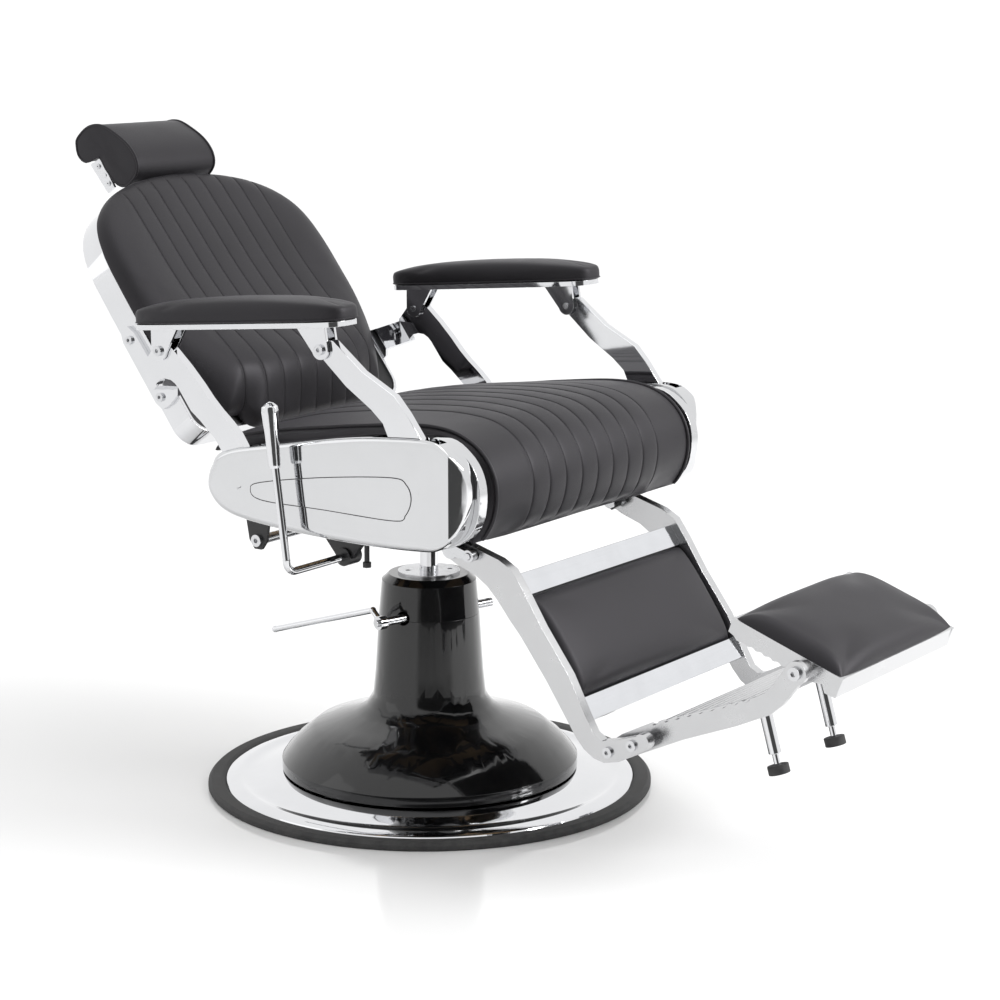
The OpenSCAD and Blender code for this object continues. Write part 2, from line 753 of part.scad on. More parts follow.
floor_ring();
base_disc();
column_shell();
pump_collar();
pump_body();
top_cap();
cap_screws();
pump_shaft();
pump_lever_rod();
lift_ram();
swivel_hub();
seat_frame();
side_cover();  // side_cover_right
mirror([0, 1, 0]) side_cover();  // side_cover_left
inset_panels();
side_panels();
seat_board();
seat_cushion();
front_arm_pins();
rear_brace();
lever_bracket();
seat_bumpers();
lock_cylinder();
back_frame();
back_panel();
back_cushion();
recline_shaft();
rear_arm();  // rear_arm_right
mirror([0, 1, 0]) rear_arm();  // rear_arm_left
back_bolts();
headrest_guide();
front_arm();  // front_arm_right
mirror([0, 1, 0]) front_arm();  // front_arm_left
armrest_plate();  // armrest_plate_right
armrest_pad();  // armrest_pad_right
armrest_bolts();  // armrest_bolts_right
mirror([0, 1, 0]) armrest_plate();  // armrest_plate_left
mirror([0, 1, 0]) armrest_pad();  // armrest_pad_left
mirror([0, 1, 0]) armrest_bolts();  // armrest_bolts_left
lever_rod();
lever_handle();
lock_rod();
link_bar();
leg_shaft();
leg_bar();  // leg_bar_right
mirror([0, 1, 0]) leg_bar();  // leg_bar_left
leg_cross_bars();
calf_board();
calf_pad();
leg_bolts();
step_plates();
step_tread();
step_legs();
step_feet();
pad_frame();
pad_cushion();
pad_bolts();
headrest_bar();
headrest_bracket();
headrest_pillow();
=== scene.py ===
"""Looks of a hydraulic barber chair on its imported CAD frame. Metres, +Z up, +X the way the sitter faces."""

import json
import math

import bmesh
import bpy
import numpy as np
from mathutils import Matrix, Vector
from mathutils.bvhtree import BVHTree


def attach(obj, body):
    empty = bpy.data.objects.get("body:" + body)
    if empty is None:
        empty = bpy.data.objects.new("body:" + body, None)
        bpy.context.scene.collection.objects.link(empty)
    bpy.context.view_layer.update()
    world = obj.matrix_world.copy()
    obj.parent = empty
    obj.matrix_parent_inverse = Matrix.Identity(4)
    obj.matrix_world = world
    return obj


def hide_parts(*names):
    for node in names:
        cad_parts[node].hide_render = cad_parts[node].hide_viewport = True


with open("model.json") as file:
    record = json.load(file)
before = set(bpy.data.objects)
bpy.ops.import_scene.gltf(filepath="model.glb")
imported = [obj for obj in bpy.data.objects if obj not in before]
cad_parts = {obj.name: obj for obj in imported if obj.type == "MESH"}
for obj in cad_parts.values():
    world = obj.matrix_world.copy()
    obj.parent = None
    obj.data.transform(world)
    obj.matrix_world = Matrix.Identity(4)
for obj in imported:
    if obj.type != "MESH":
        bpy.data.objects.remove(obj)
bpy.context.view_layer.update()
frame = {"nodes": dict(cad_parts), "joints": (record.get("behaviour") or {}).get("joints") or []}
NODES = frame["nodes"]
JOINTS = {j["name"]: j for j in frame["joints"]}
MM = 0.001

# ---- axes of the parts that lean, from the joints


def joint_at(name):
    """Where a joint is at rest, on the chair's middle plane."""
    x, _, z = JOINTS[name]["pos_m"]
    return np.array((x, 0.0, z))


Y_AXIS = np.array((0.0, 1.0, 0.0))
RECLINE = joint_at("recline")
BACK_UP = np.array(JOINTS["headrest_slide"]["axis"], float)
BACK_OUT = np.array((BACK_UP[2], 0.0, -BACK_UP[0]))
BACK_FOOT = np.array((-0.268, 0.0, 0.570))
ARM_REAR = joint_at("armrest_right_hinge")
ARM_ALONG = joint_at("front_arm_right_hinge") - RECLINE
ARM_ALONG = ARM_ALONG / np.linalg.norm(ARM_ALONG)
ARM_UP = np.array((-ARM_ALONG[2], 0.0, ARM_ALONG[0]))
CALF_TOP = np.array((0.319, 0.0, 0.425))
CALF_LOW = np.array((0.457, 0.0, 0.229))
CALF_LEN = float(np.linalg.norm(CALF_LOW - CALF_TOP))
CALF_DOWN = (CALF_LOW - CALF_TOP) / CALF_LEN
CALF_OUT = np.array((-CALF_DOWN[2], 0.0, CALF_DOWN[0]))
PAD_PIVOT = joint_at("foot_pad_flip")
PAD_TILT = math.radians(19.6)
PAD_ALONG = np.array((math.cos(PAD_TILT), 0.0, -math.sin(PAD_TILT)))
PAD_OUT = np.array((math.sin(PAD_TILT), 0.0, math.cos(PAD_TILT)))


def placed(origin, along, out, a, y, b):
    """Points a along, y across and b out of an axis system."""
    a, y, b = np.broadcast_arrays(np.asarray(a, float), np.asarray(y, float), np.asarray(b, float))
    return origin + a[..., None] * along + y[..., None] * Y_AXIS + b[..., None] * out


# ---- mesh helpers


def at_y(line, y):
    """Points of a line in the chair's side view, at one y or with a y for each."""
    return np.stack([line[:, 0], np.broadcast_to(y, len(line)), line[:, 1]], 1)


def curve_through(points, n, closed=False):
    """n points evenly spaced along a Catmull-Rom curve through the points."""
    p = np.asarray(points, float)
    m = len(p)
    if closed:
        ring = np.vstack([p[-1:], p, p[:2]])
        spans = m
    else:
        ring = np.vstack([2 * p[0] - p[1], p, 2 * p[-1] - p[-2]])
        spans = m - 1
    t = np.linspace(0, 1, 12, endpoint=False)[:, None]
    fine = []
    for i in range(spans):
        a, b, c, d = ring[i : i + 4]
        square, cube = 2 * a - 5 * b + 4 * c - d, 3 * b - a - 3 * c + d
        fine.append(0.5 * (2 * b + (c - a) * t + square * t**2 + cube * t**3))
    fine.append(p[:1] if closed else p[-1:])
    fine = np.vstack(fine)
    run = np.concatenate([[0], np.cumsum(np.linalg.norm(np.diff(fine, axis=0), axis=1))])
    at = np.linspace(0, run[-1], n, endpoint=not closed)
    return np.stack([np.interp(at, run, fine[:, k]) for k in range(fine.shape[1])], axis=1)


def grid_quads(rows, cols, wrap=False, start=0):
    """Quads of a rows x cols grid of vertices; wrap closes each row on itself."""
    last = cols if wrap else cols - 1
    quads = []
    for r in range(rows - 1):
        low, high = start + r * cols, start + (r + 1) * cols
        for c in range(last):
            d = (c + 1) % cols
            quads.append((low + c, low + d, high + d, high + c))
    return quads


def piece(name, verts, faces, body, material, merge=1e-6):
    """A mesh piece that rides on a body, with its faces turned outwards."""
    mesh = bpy.data.meshes.new(name)
    mesh.from_pydata([tuple(v) for v in verts], [], faces)
    if merge:
        bm = bmesh.new()
        bm.from_mesh(mesh)
        bmesh.ops.remove_doubles(bm, verts=bm.verts, dist=merge)
        bmesh.ops.dissolve_degenerate(bm, edges=bm.edges, dist=merge / 10)
        bmesh.ops.recalc_face_normals(bm, faces=bm.faces)
        bm.to_mesh(mesh)
        bm.free()
    mesh.materials.append(material)
    mesh.polygons.foreach_set("use_smooth", [True] * len(mesh.polygons))
    obj = bpy.data.objects.new(name, mesh)
    bpy.context.scene.collection.objects.link(obj)
    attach(obj, body)
    return obj


def coordinates(mesh):
    """The mesh's vertices as an array with a row for each."""
    co = np.zeros(len(mesh.vertices) * 3, np.float32)
    mesh.vertices.foreach_get("co", co)
    return co.reshape(-1, 3).astype(float)


def bake_modifiers(obj):
    """Applies the modifiers to the mesh."""
    graph = bpy.context.evaluated_depsgraph_get()
    made = bpy.data.meshes.new_from_object(obj.evaluated_get(graph))
    obj.modifiers.clear()
    obj.data = made


def subdivide(obj):
    """Splits every face in four and smooths the form."""
    mod = obj.modifiers.new("subdivision", "SUBSURF")
    mod.levels = mod.render_levels = 1
    bake_modifiers(obj)


def evened(mesh, step, rounds):
    """Each vertex's step averaged with its neighbours' a number of times, so that small wrinkles go."""
    ends = np.zeros(len(mesh.edges) * 2, np.int32)
    mesh.edges.foreach_get("vertices", ends)
    a, b = ends.reshape(-1, 2).T
    count = np.maximum(np.bincount(ends, minlength=len(step)), 1)[:, None]
    for _ in range(rounds):
        total = np.zeros_like(step)
        np.add.at(total, a, step[b])
        np.add.at(total, b, step[a])
        step = 0.5 * step + 0.5 * total / count
    return step


CLOTH_FRAMES = 16
CLOTH_STIFFNESS = 12.0


def inflate(obj, held, pressure, cap, calm=0):
    """Puffs a closed cover with cloth simulation, held at some vertices; no point moves more than cap."""
    rest = coordinates(obj.data)
    group = obj.vertex_groups.new(name="held")
    group.add([int(i) for i in held], 1.0, "REPLACE")
    mod = obj.modifiers.new("cloth", "CLOTH")
    cloth = mod.settings
    cloth.quality = 6
    cloth.mass = 0.25
    cloth.tension_stiffness = cloth.compression_stiffness = CLOTH_STIFFNESS
    cloth.shear_stiffness = CLOTH_STIFFNESS * 0.6
    cloth.bending_stiffness = 0.4
    cloth.use_pressure = True
    cloth.uniform_pressure_force = pressure
    cloth.effector_weights.gravity = 0
    cloth.vertex_group_mass = "held"
    mod.collision_settings.use_collision = False
    scene = bpy.context.scene
    for f in range(1, CLOTH_FRAMES + 1):
        scene.frame_set(f)
    graph = bpy.context.evaluated_depsgraph_get()
    moved = coordinates(obj.evaluated_get(graph).data)
    obj.modifiers.remove(mod)
    scene.frame_set(1)
    step = moved - rest
    length = np.linalg.norm(step, axis=1, keepdims=True)
    step = evened(obj.data, step * np.minimum(1, cap / np.maximum(length, 1e-9)), calm)
    step[held] = 0
    obj.data.vertices.foreach_set("co", (rest + step).astype(np.float32).ravel())
    obj.data.update()
    obj.vertex_groups.clear()


def tube_parts(path, radius, sides, closed=False, start=0):
    """Vertices and faces of a round tube along a path of points, with closed ends."""
    p = np.asarray(path, float)
    if closed:
        ahead, behind = np.roll(p, -1, 0), np.roll(p, 1, 0)
    else:
        ahead, behind = np.vstack([p[1:], p[-1:]]), np.vstack([p[:1], p[:-1]])
    tangent = ahead - behind
    tangent /= np.linalg.norm(tangent, axis=1, keepdims=True)
    radii = np.broadcast_to(np.asarray(radius, float), (len(p),))
    side = np.cross(tangent[0], Y_AXIS if abs(tangent[0][1]) < 0.9 else (1.0, 0.0, 0.0))
    verts = []
    for q, t, r in zip(p, tangent, radii):
        side = side - t * (side @ t)
        side = side / np.linalg.norm(side)
        up = np.cross(t, side)
        for k in range(sides):
            a = 2 * math.pi * k / sides
            verts.append(q + r * (math.cos(a) * side + math.sin(a) * up))
    rings = len(p)
    faces = grid_quads(rings, sides, wrap=True, start=start)
    if closed:
        last = start + (rings - 1) * sides
        for k in range(sides):
            after = (k + 1) % sides
            faces.append((last + k, last + after, start + after, start + k))
    else:
        faces.append(tuple(start + k for k in range(sides))[::-1])
        faces.append(tuple(start + (rings - 1) * sides + k for k in range(sides)))
    return verts, faces


def tube(name, path, radius, body, material, sides=8, closed=True):
    """A piece that is one round tube along a path."""
    verts, faces = tube_parts(path, radius, sides, closed)
    piece(name, verts, faces, body, material, merge=0)


STITCH_PITCH = 0.0042
STITCH_GAP = 0.3  # share of the pitch
THREAD_RADIUS = 0.00042


def stitched(name, cover, lines, body):
    """One piece of short stitches that lie on a cover along lines of points."""
    graph = bpy.context.evaluated_depsgraph_get()
    tree = BVHTree.FromObject(cover, graph)
    verts, faces = [], []
    for line in lines:
        run = np.concatenate([[0], np.cumsum(np.linalg.norm(np.diff(line, axis=0), axis=1))])
        count = int(run[-1] / STITCH_PITCH)
        for i in range(count):
            at = (i + np.array((0.02, 0.2, 0.8 - STITCH_GAP / 2, 1 - STITCH_GAP))) * STITCH_PITCH
            points = np.stack([np.interp(at, run, line[:, k]) for k in range(3)], axis=1)
            path = []
            for q, lift in zip(points, (-0.7, 0.55, 0.55, -0.7)):
                near, normal, _, _ = tree.find_nearest(Vector(q))
                path.append(np.array(near) + np.array(normal) * lift * THREAD_RADIUS)
            v, f = tube_parts(path, THREAD_RADIUS, 5, start=len(verts))
            verts += v
            faces += f
    piece(name, verts, faces, body, THREAD, merge=0)


def distance_to(outline, x, y):
    """Distance from points to a closed outline, as an array shaped like x."""
    a = np.asarray(outline, float)
    b = np.roll(a, -1, 0)
    p = np.stack([x.ravel(), y.ravel()], 1)[:, None, :]
    ab = b - a
    t = np.clip(((p - a) * ab).sum(2) / np.maximum((ab**2).sum(1), 1e-12), 0, 1)
    return np.sqrt((((p - a - t[..., None] * ab)) ** 2).sum(2).min(1)).reshape(x.shape)


def rounded(d, radius):
    """Height share of a quarter-round edge at distance d from it."""
    return np.sqrt(np.clip(1 - (1 - np.clip(d / radius, 0, 1)) ** 2, 0, 1))


def closed_patch(front, back):
    """Vertices and faces of a closed form with two grids of points that meet at their border."""
    rows, cols = front.shape[:2]
    back = back.copy()
    for edge in ((0, slice(None)), (-1, slice(None)), (slice(None), 0), (slice(None), -1)):
        back[edge] = front[edge]
    verts = np.vstack([front.reshape(-1, 3), back.reshape(-1, 3)])
    faces = grid_quads(rows, cols)
    faces += [q[::-1] for q in grid_quads(rows, cols, start=rows * cols)]
    return verts, faces


# ---- materials


class Nodes:
    """A new material with a Principled shader and short ways to add nodes to it."""

    def __init__(self, name):
        self.material = bpy.data.materials.new(name)
        self.material.use_nodes = True
        self.tree = self.material.node_tree
        self.shader = self.tree.nodes["Principled BSDF"]
        self.place = self.add("ShaderNodeTexCoord").outputs["Object"]

    def add(self, kind, **settings):
        node = self.tree.nodes.new(kind)
        for key, value in settings.items():
            setattr(node, key, value)
        return node

    def link(self, out, into):
        self.tree.links.new(out, into)

    def fixed(self, **values):
        """Sets the shader's own sockets."""
        for key, value in values.items():
            self.shader.inputs[key.replace("_", " ")].default_value = value

    def scaled(self, scale):
        node = self.add("ShaderNodeMapping")
        node.inputs["Scale"].default_value = scale
        self.link(self.place, node.inputs["Vector"])
        return node.outputs["Vector"]

    def noise(self, scale, detail=2.0, roughness=0.5, stretch=None):
        node = self.add("ShaderNodeTexNoise")
        node.inputs["Scale"].default_value = scale
        node.inputs["Detail"].default_value = detail
        node.inputs["Roughness"].default_value = roughness
        self.link(self.scaled(stretch) if stretch else self.place, node.inputs["Vector"])
        return node.outputs["Fac"]

    def voronoi(self, scale, feature="F1"):
        node = self.add("ShaderNodeTexVoronoi", feature=feature)
        node.inputs["Scale"].default_value = scale
        self.link(self.place, node.inputs["Vector"])
        return node.outputs["Distance"]

    def spread(self, value, low, high, from_low=0.3, from_high=0.7):
        """The value's usual range stretched to run from low to high."""
        node = self.add("ShaderNodeMapRange")
        limits = (("From Min", from_low), ("From Max", from_high), ("To Min", low), ("To Max", high))
        for key, number in limits:
            node.inputs[key].default_value = number
        self.link(value, node.inputs["Value"])
        return node.outputs["Result"]

    def colours(self, value, stops):
        node = self.add("ShaderNodeValToRGB")
        ramp = node.color_ramp
        ramp.elements[0].position, ramp.elements[1].position = stops[0][0], stops[-1][0]
        ramp.elements[0].color, ramp.elements[1].color = (*stops[0][1], 1), (*stops[-1][1], 1)
        for at, colour in stops[1:-1]:
            ramp.elements.new(at).color = (*colour, 1)
        self.link(value, node.inputs["Fac"])
        return node.outputs["Color"]

    def plus(self, a, b, share):
        """a with a share of b added."""
        node = self.add("ShaderNodeMath", operation="MULTIPLY_ADD")
        self.link(b, node.inputs[0])
        node.inputs[1].default_value = share
        self.link(a, node.inputs[2])
        return node.outputs[0]

    def base(self, value, stops):
        self.link(self.colours(value, stops), self.shader.inputs["Base Color"])

    def rough(self, value):
        self.link(value, self.shader.inputs["Roughness"])

    def bump(self, height, distance, strength):
        node = self.add("ShaderNodeBump")
        node.inputs["Strength"].default_value = strength
        node.inputs["Distance"].default_value = distance
        self.link(height, node.inputs["Height"])
        self.link(node.outputs["Normal"], self.shader.inputs["Normal"])


def leatherette():
    """Fine pebble-grained black leatherette with a low sheen."""
    n = Nodes("black_leatherette")
    n.fixed(Specular_IOR_Level=0.29, Sheen_Weight=0.04, Sheen_Roughness=0.45)
    n.shader.inputs["Sheen Tint"].default_value = (0.82, 0.80, 0.90, 1)
    n.shader.inputs["Specular Tint"].default_value = (0.96, 0.93, 1.0, 1)
    cells = n.voronoi(950, "SMOOTH_F1")
    creases = n.noise(420, 4.0, 0.6)
    broad = n.noise(9, 3.0)
    n.base(broad, [(0.3, (0.014, 0.0133, 0.0146)), (0.7, (0.020, 0.019, 0.021))])
    n.rough(n.plus(n.spread(broad, 0.40, 0.50), creases, 0.06))
    n.bump(n.plus(n.spread(cells, 0, 1, 0.0, 0.6), creases, 0.8), 0.00016, 0.55)
    return n.material


def thread():
    """Twisted black sewing thread."""
    n = Nodes("black_thread")
    n.fixed(Specular_IOR_Level=0.3)
    twist = n.noise(3000, 1.0)
    n.base(twist, [(0.3, (0.020, 0.019, 0.021)), (0.7, (0.045, 0.043, 0.046))])
    n.rough(n.spread(twist, 0.55, 0.75))
    n.bump(twist, 0.0001, 0.6)
    return n.material


def chrome(name, tint):
    """Bright chrome plate with a faint haze of wiping marks."""
    n = Nodes(name)
    n.fixed(Metallic=1.0)
    haze = n.noise(14, 5.0, 0.6)
    wipe = n.noise(60, 3.0, 0.6, (1.0, 1.0, 6.0))
    warm = tuple(c * 0.965 for c in tint)
    n.base(haze, [(0.3, warm), (0.65, tint)])
    n.rough(n.plus(n.spread(haze, 0.02, 0.06), wipe, 0.02))
    n.bump(wipe, 0.00002, 0.12)
    return n.material


def brushed(name, colour, low, high, stretch, grain):
    """Metal with fine grinding or polishing lines, which run along the axis with the least stretch."""
    n = Nodes(name)
    n.fixed(Metallic=1.0)
    lines = n.noise(grain, 3.0, 0.6, stretch)
    cloud = n.noise(22, 4.0, 0.6)
    dark = tuple(c * 0.93 for c in colour)
    n.base(n.plus(cloud, lines, 0.5), [(0.45, dark), (1.0, colour)])
    n.rough(n.plus(n.spread(cloud, low, high), lines, 0.06))
    n.bump(lines, 0.00002, 0.4)
    return n.material


def enamel():
    """Deep gloss black with a little orange peel and dust."""
    n = Nodes("black_enamel_gloss")
    n.fixed(Specular_IOR_Level=0.3, Coat_Weight=0.6, Coat_Roughness=0.025)
    peel = n.noise(160, 2.0)
    dust = n.noise(40, 6.0, 0.7)
    n.base(dust, [(0.35, (0.0035, 0.0035, 0.004)), (0.75, (0.008, 0.008, 0.0085))])
    n.rough(n.spread(dust, 0.08, 0.16))
    n.bump(peel, 0.00006, 0.25)
    return n.material


def painted(name, colour, low, high):
    """Satin black paint over a fine grain."""
    n = Nodes(name)
    grain = n.noise(900, 2.0)
    cloud = n.noise(18, 4.0)
    bright = tuple(c * 1.2 for c in colour)
    n.base(cloud, [(0.3, colour), (0.75, bright)])
    n.rough(n.spread(cloud, low, high))
    n.bump(grain, 0.00008, 0.35)
    return n.material


def rubber():
    """Moulded rubber with scuffed, paler patches."""
    n = Nodes("dark_rubber")
    n.fixed(Specular_IOR_Level=0.35)
    grain = n.noise(700, 4.0, 0.7)
    scuffs = n.noise(55, 6.0, 0.65)
    n.base(scuffs, [(0.35, (0.030, 0.030, 0.031)), (0.8, (0.075, 0.074, 0.073))])
    n.rough(n.spread(scuffs, 0.55, 0.8))
    n.bump(n.plus(grain, scuffs, 0.6), 0.0003, 0.5)
    return n.material


def plywood():
    """Unfinished plywood with its grain along X."""
    n = Nodes("plain_plywood")
    n.fixed(Specular_IOR_Level=0.3)
    grain = n.noise(40, 5.0, 0.65, (1.0, 14.0, 30.0))
    tones = [(0.3, (0.30, 0.19, 0.10)), (0.5, (0.45, 0.31, 0.18)), (0.75, (0.58, 0.43, 0.27))]
    n.base(grain, tones)
    n.rough(n.spread(grain, 0.5, 0.7))
    n.bump(grain, 0.0003, 0.5)
    return n.material


LEATHER = leatherette()
THREAD = thread()
CHROME = chrome("mirror_chrome", (0.72, 0.725, 0.74))
# The side covers get a darker copy of the mirror chrome: painted shade, so they look dimmer than the other
# chrome parts.
COVER_CHROME_PAINTED_SHADE = chrome("cover_chrome_painted_shade", (0.64, 0.645, 0.655))
ALLOY = brushed("polished_alloy", (0.59, 0.592, 0.60), 0.20, 0.25, (1.0, 0.05, 1.0), 500)
ALLOY_BARS = brushed("polished_cross_bars", (0.72, 0.73, 0.755), 0.06, 0.09, (1.0, 0.03, 1.0), 500)
GROUND = brushed("ground_steel", (0.66, 0.665, 0.68), 0.14, 0.26, (1.0, 1.0, 0.2), 900)
ENAMEL = enamel()
PAINT = painted("satin_black_paint", (0.016, 0.016, 0.017), 0.36, 0.41)
BOARD = painted("black_painted_board", (0.014, 0.014, 0.015), 0.50, 0.55)
RUBBER = rubber()
PLYWOOD = plywood()

# ---- CAD nodes that show as they are

CHROME_EDGE = 0.9 * MM
ALLOY_EDGE = 1.6 * MM
FLAT, SHARP, ROUNDED, SPLIT = 0.6, 30, 35, 60  # degrees between faces
SHARP_ON_SHELLS = 28


def finish_cad(material, *names, bevel=0.0):
    """Gives CAD nodes their material and softens their edges."""
    for name in names:
        obj = NODES[name]
        obj.data.materials.clear()
        obj.data.materials.append(material)
        obj.data.polygons.foreach_set("material_index", [0] * len(obj.data.polygons))
        obj.data.polygons.foreach_set("use_smooth", [True] * len(obj.data.polygons))
        weld = obj.modifiers.new("weld", "WELD")
        weld.merge_threshold = 1e-5
        if bevel:
            flat = obj.modifiers.new("flat", "DECIMATE")
            flat.decimate_type = "DISSOLVE"
            flat.angle_limit = math.radians(FLAT)
            round_over = obj.modifiers.new("round", "BEVEL")
            round_over.width = bevel
            round_over.segments = 2
            round_over.limit_method = "ANGLE"
            round_over.angle_limit = math.radians(ROUNDED)
            round_over.use_clamp_overlap = True
        corners = obj.modifiers.new("corners", "EDGE_SPLIT")
        corners.split_angle = math.radians(SPLIT)
        normals = obj.modifiers.new("normals", "WEIGHTED_NORMAL")
        normals.keep_sharp = True
        sharp_edges(obj, SHARP)


def sharp_edges(obj, degrees):
    """Marks edges sharper than an angle, so that smooth shading stops there."""
    bm = bmesh.new()
    bm.from_mesh(obj.data)
    limit = math.radians(degrees)
    sharp = [e.index for e in bm.edges if len(e.link_faces) == 2 and e.calc_face_angle(0) > limit]
    bm.free()
    flags = np.zeros(len(obj.data.edges), bool)
    flags[sharp] = True
    kept = obj.data.attributes
    marks = kept.get("sharp_edge") or kept.new("sharp_edge", "BOOLEAN", "EDGE")
    marks.data.foreach_set("value", flags)


def smooth_shell(obj):
    """Smooth shading on a made shell, but for its sharp edges."""
    obj.data.polygons.foreach_set("use_smooth", [True] * len(obj.data.polygons))
    sharp_edges(obj, SHARP_ON_SHELLS)
    normals = obj.modifiers.new("normals", "WEIGHTED_NORMAL")
    normals.keep_sharp = True
    bake_modifiers(obj)


finish_cad(RUBBER, "floor_ring", "seat_bumpers", "step_feet", bevel=1.0 * MM)
finish_cad(CHROME, "base_disc", "lift_ram", "pump_lever_rod", "lever_rod", "lever_handle", "headrest_bar")
finish_cad(COVER_CHROME_PAINTED_SHADE, "side_panels", "inset_panels", bevel=CHROME_EDGE)
finish_cad(CHROME, "back_frame", "rear_arm_right", "rear_arm_left", "headrest_guide", "front_arm_right",
           "front_arm_left", "armrest_plate_right", "armrest_plate_left", "step_legs", "headrest_bracket",
           bevel=CHROME_EDGE)
finish_cad(ENAMEL, "column_shell", "pump_collar", bevel=1.2 * MM)
finish_cad(PAINT, "pump_body", "swivel_hub", "seat_frame", "lever_bracket", "lock_cylinder", bevel=0.6 * MM)
finish_cad(BOARD, "back_panel", "calf_board", bevel=1.0 * MM)
finish_cad(ALLOY, "leg_bar_right", "leg_bar_left", "step_plates", "pad_frame", bevel=ALLOY_EDGE)
finish_cad(ALLOY_BARS, "leg_cross_bars", bevel=0.8 * MM)
finish_cad(ALLOY, "step_tread", bevel=0.6 * MM)
finish_cad(GROUND, "rear_brace", "top_cap", "cap_screws", "pump_shaft", "front_arm_pins", "recline_shaft",
           "back_bolts", "armrest_bolts_right", "armrest_bolts_left", "lock_rod", "link_bar", "leg_shaft",
           "leg_bolts", "pad_bolts", bevel=0.4 * MM)
finish_cad(PLYWOOD, "seat_board", bevel=0.5 * MM)

# ---- back cushion: heights over (y, u) on the backrest's own axes

BACK_HALF = 0.262  # half width at its widest
BACK_TOP = 0.470
BACK_WIDE_AT = 0.235  # height where it is widest
BACK_NARROWS = 0.075
BACK_LOW = -0.012
BACK_RIM = 0.0223  # plane of its back, on the chrome frame
BACK_BOTTOM_HALF = 0.160
BACK_SIDES = (0.016, 0.4215)  # heights between which the side edge runs
BACK_SEAM_PITCH = 0.040
SEAMS = 4  # on each side of the middle one
SEAM_HALF = 0.0013
SEAM_DEPTH = 0.0017
CHANNEL_RISE = 0.0011


def back_half_width(u):
    """Half the width at height u."""
    low = BACK_HALF - BACK_NARROWS * ((BACK_WIDE_AT - u) / BACK_WIDE_AT) ** 2
    share = np.clip((u - BACK_WIDE_AT) / (BACK_TOP - BACK_WIDE_AT), 0, 1)
    high = BACK_HALF * np.sqrt(np.clip(np.sqrt(np.clip(1 - share**4, 0, 1)), 0, 1))
    return np.where(u < BACK_WIDE_AT, low, high)


def back_top_at(y):
    """Height of the arched rim at y."""
    c = np.clip(np.abs(y) / BACK_HALF, 0, 1)
    return BACK_WIDE_AT + (BACK_TOP - BACK_WIDE_AT) * (1 - c**2) ** 0.25


def back_bottom_at(y):
    """Height of the bottom roll's lower edge at y: straight, with rounded corners."""
    corner = 0.035
    over = np.clip((np.abs(y) - (BACK_BOTTOM_HALF - corner)) / corner, 0, 1)
    return BACK_LOW + corner * (1 - np.sqrt(1 - over**2)) * 0.8


FACE_LINE = curve_through([(0.0, 0.062), (0.060, 0.092), (0.100, 0.090), (0.170, 0.071), (0.260, 0.058),
                           (0.360, 0.053), (0.470, 0.047)], 80)


def back_face(u):
    """Depth of the cushion's front at height u, before its edges round over."""
    return np.interp(u, FACE_LINE[:, 0], FACE_LINE[:, 1])


def seam_columns(pitch, count, cells):
    """Places across a channelled cover, with three columns at each seam, and the seams' middle columns."""
    ys, mids = [], []
    for k in range(-count, count + 1):
        if k > -count:
            ys += list(np.linspace((k - 1) * pitch + SEAM_HALF, k * pitch - SEAM_HALF, cells + 1)[1:-1])
        ys.append(k * pitch - SEAM_HALF)
        mids.append(len(ys))
        ys += [k * pitch, k * pitch + SEAM_HALF]
    return np.array(ys), mids


def at_seam(across, pitch):
    """Which places across a channelled cover lie in a seam."""
    near = np.abs((across + pitch / 2) % pitch - pitch / 2) < SEAM_HALF * 1.1
    return near & (across < SEAMS * pitch + 0.002)


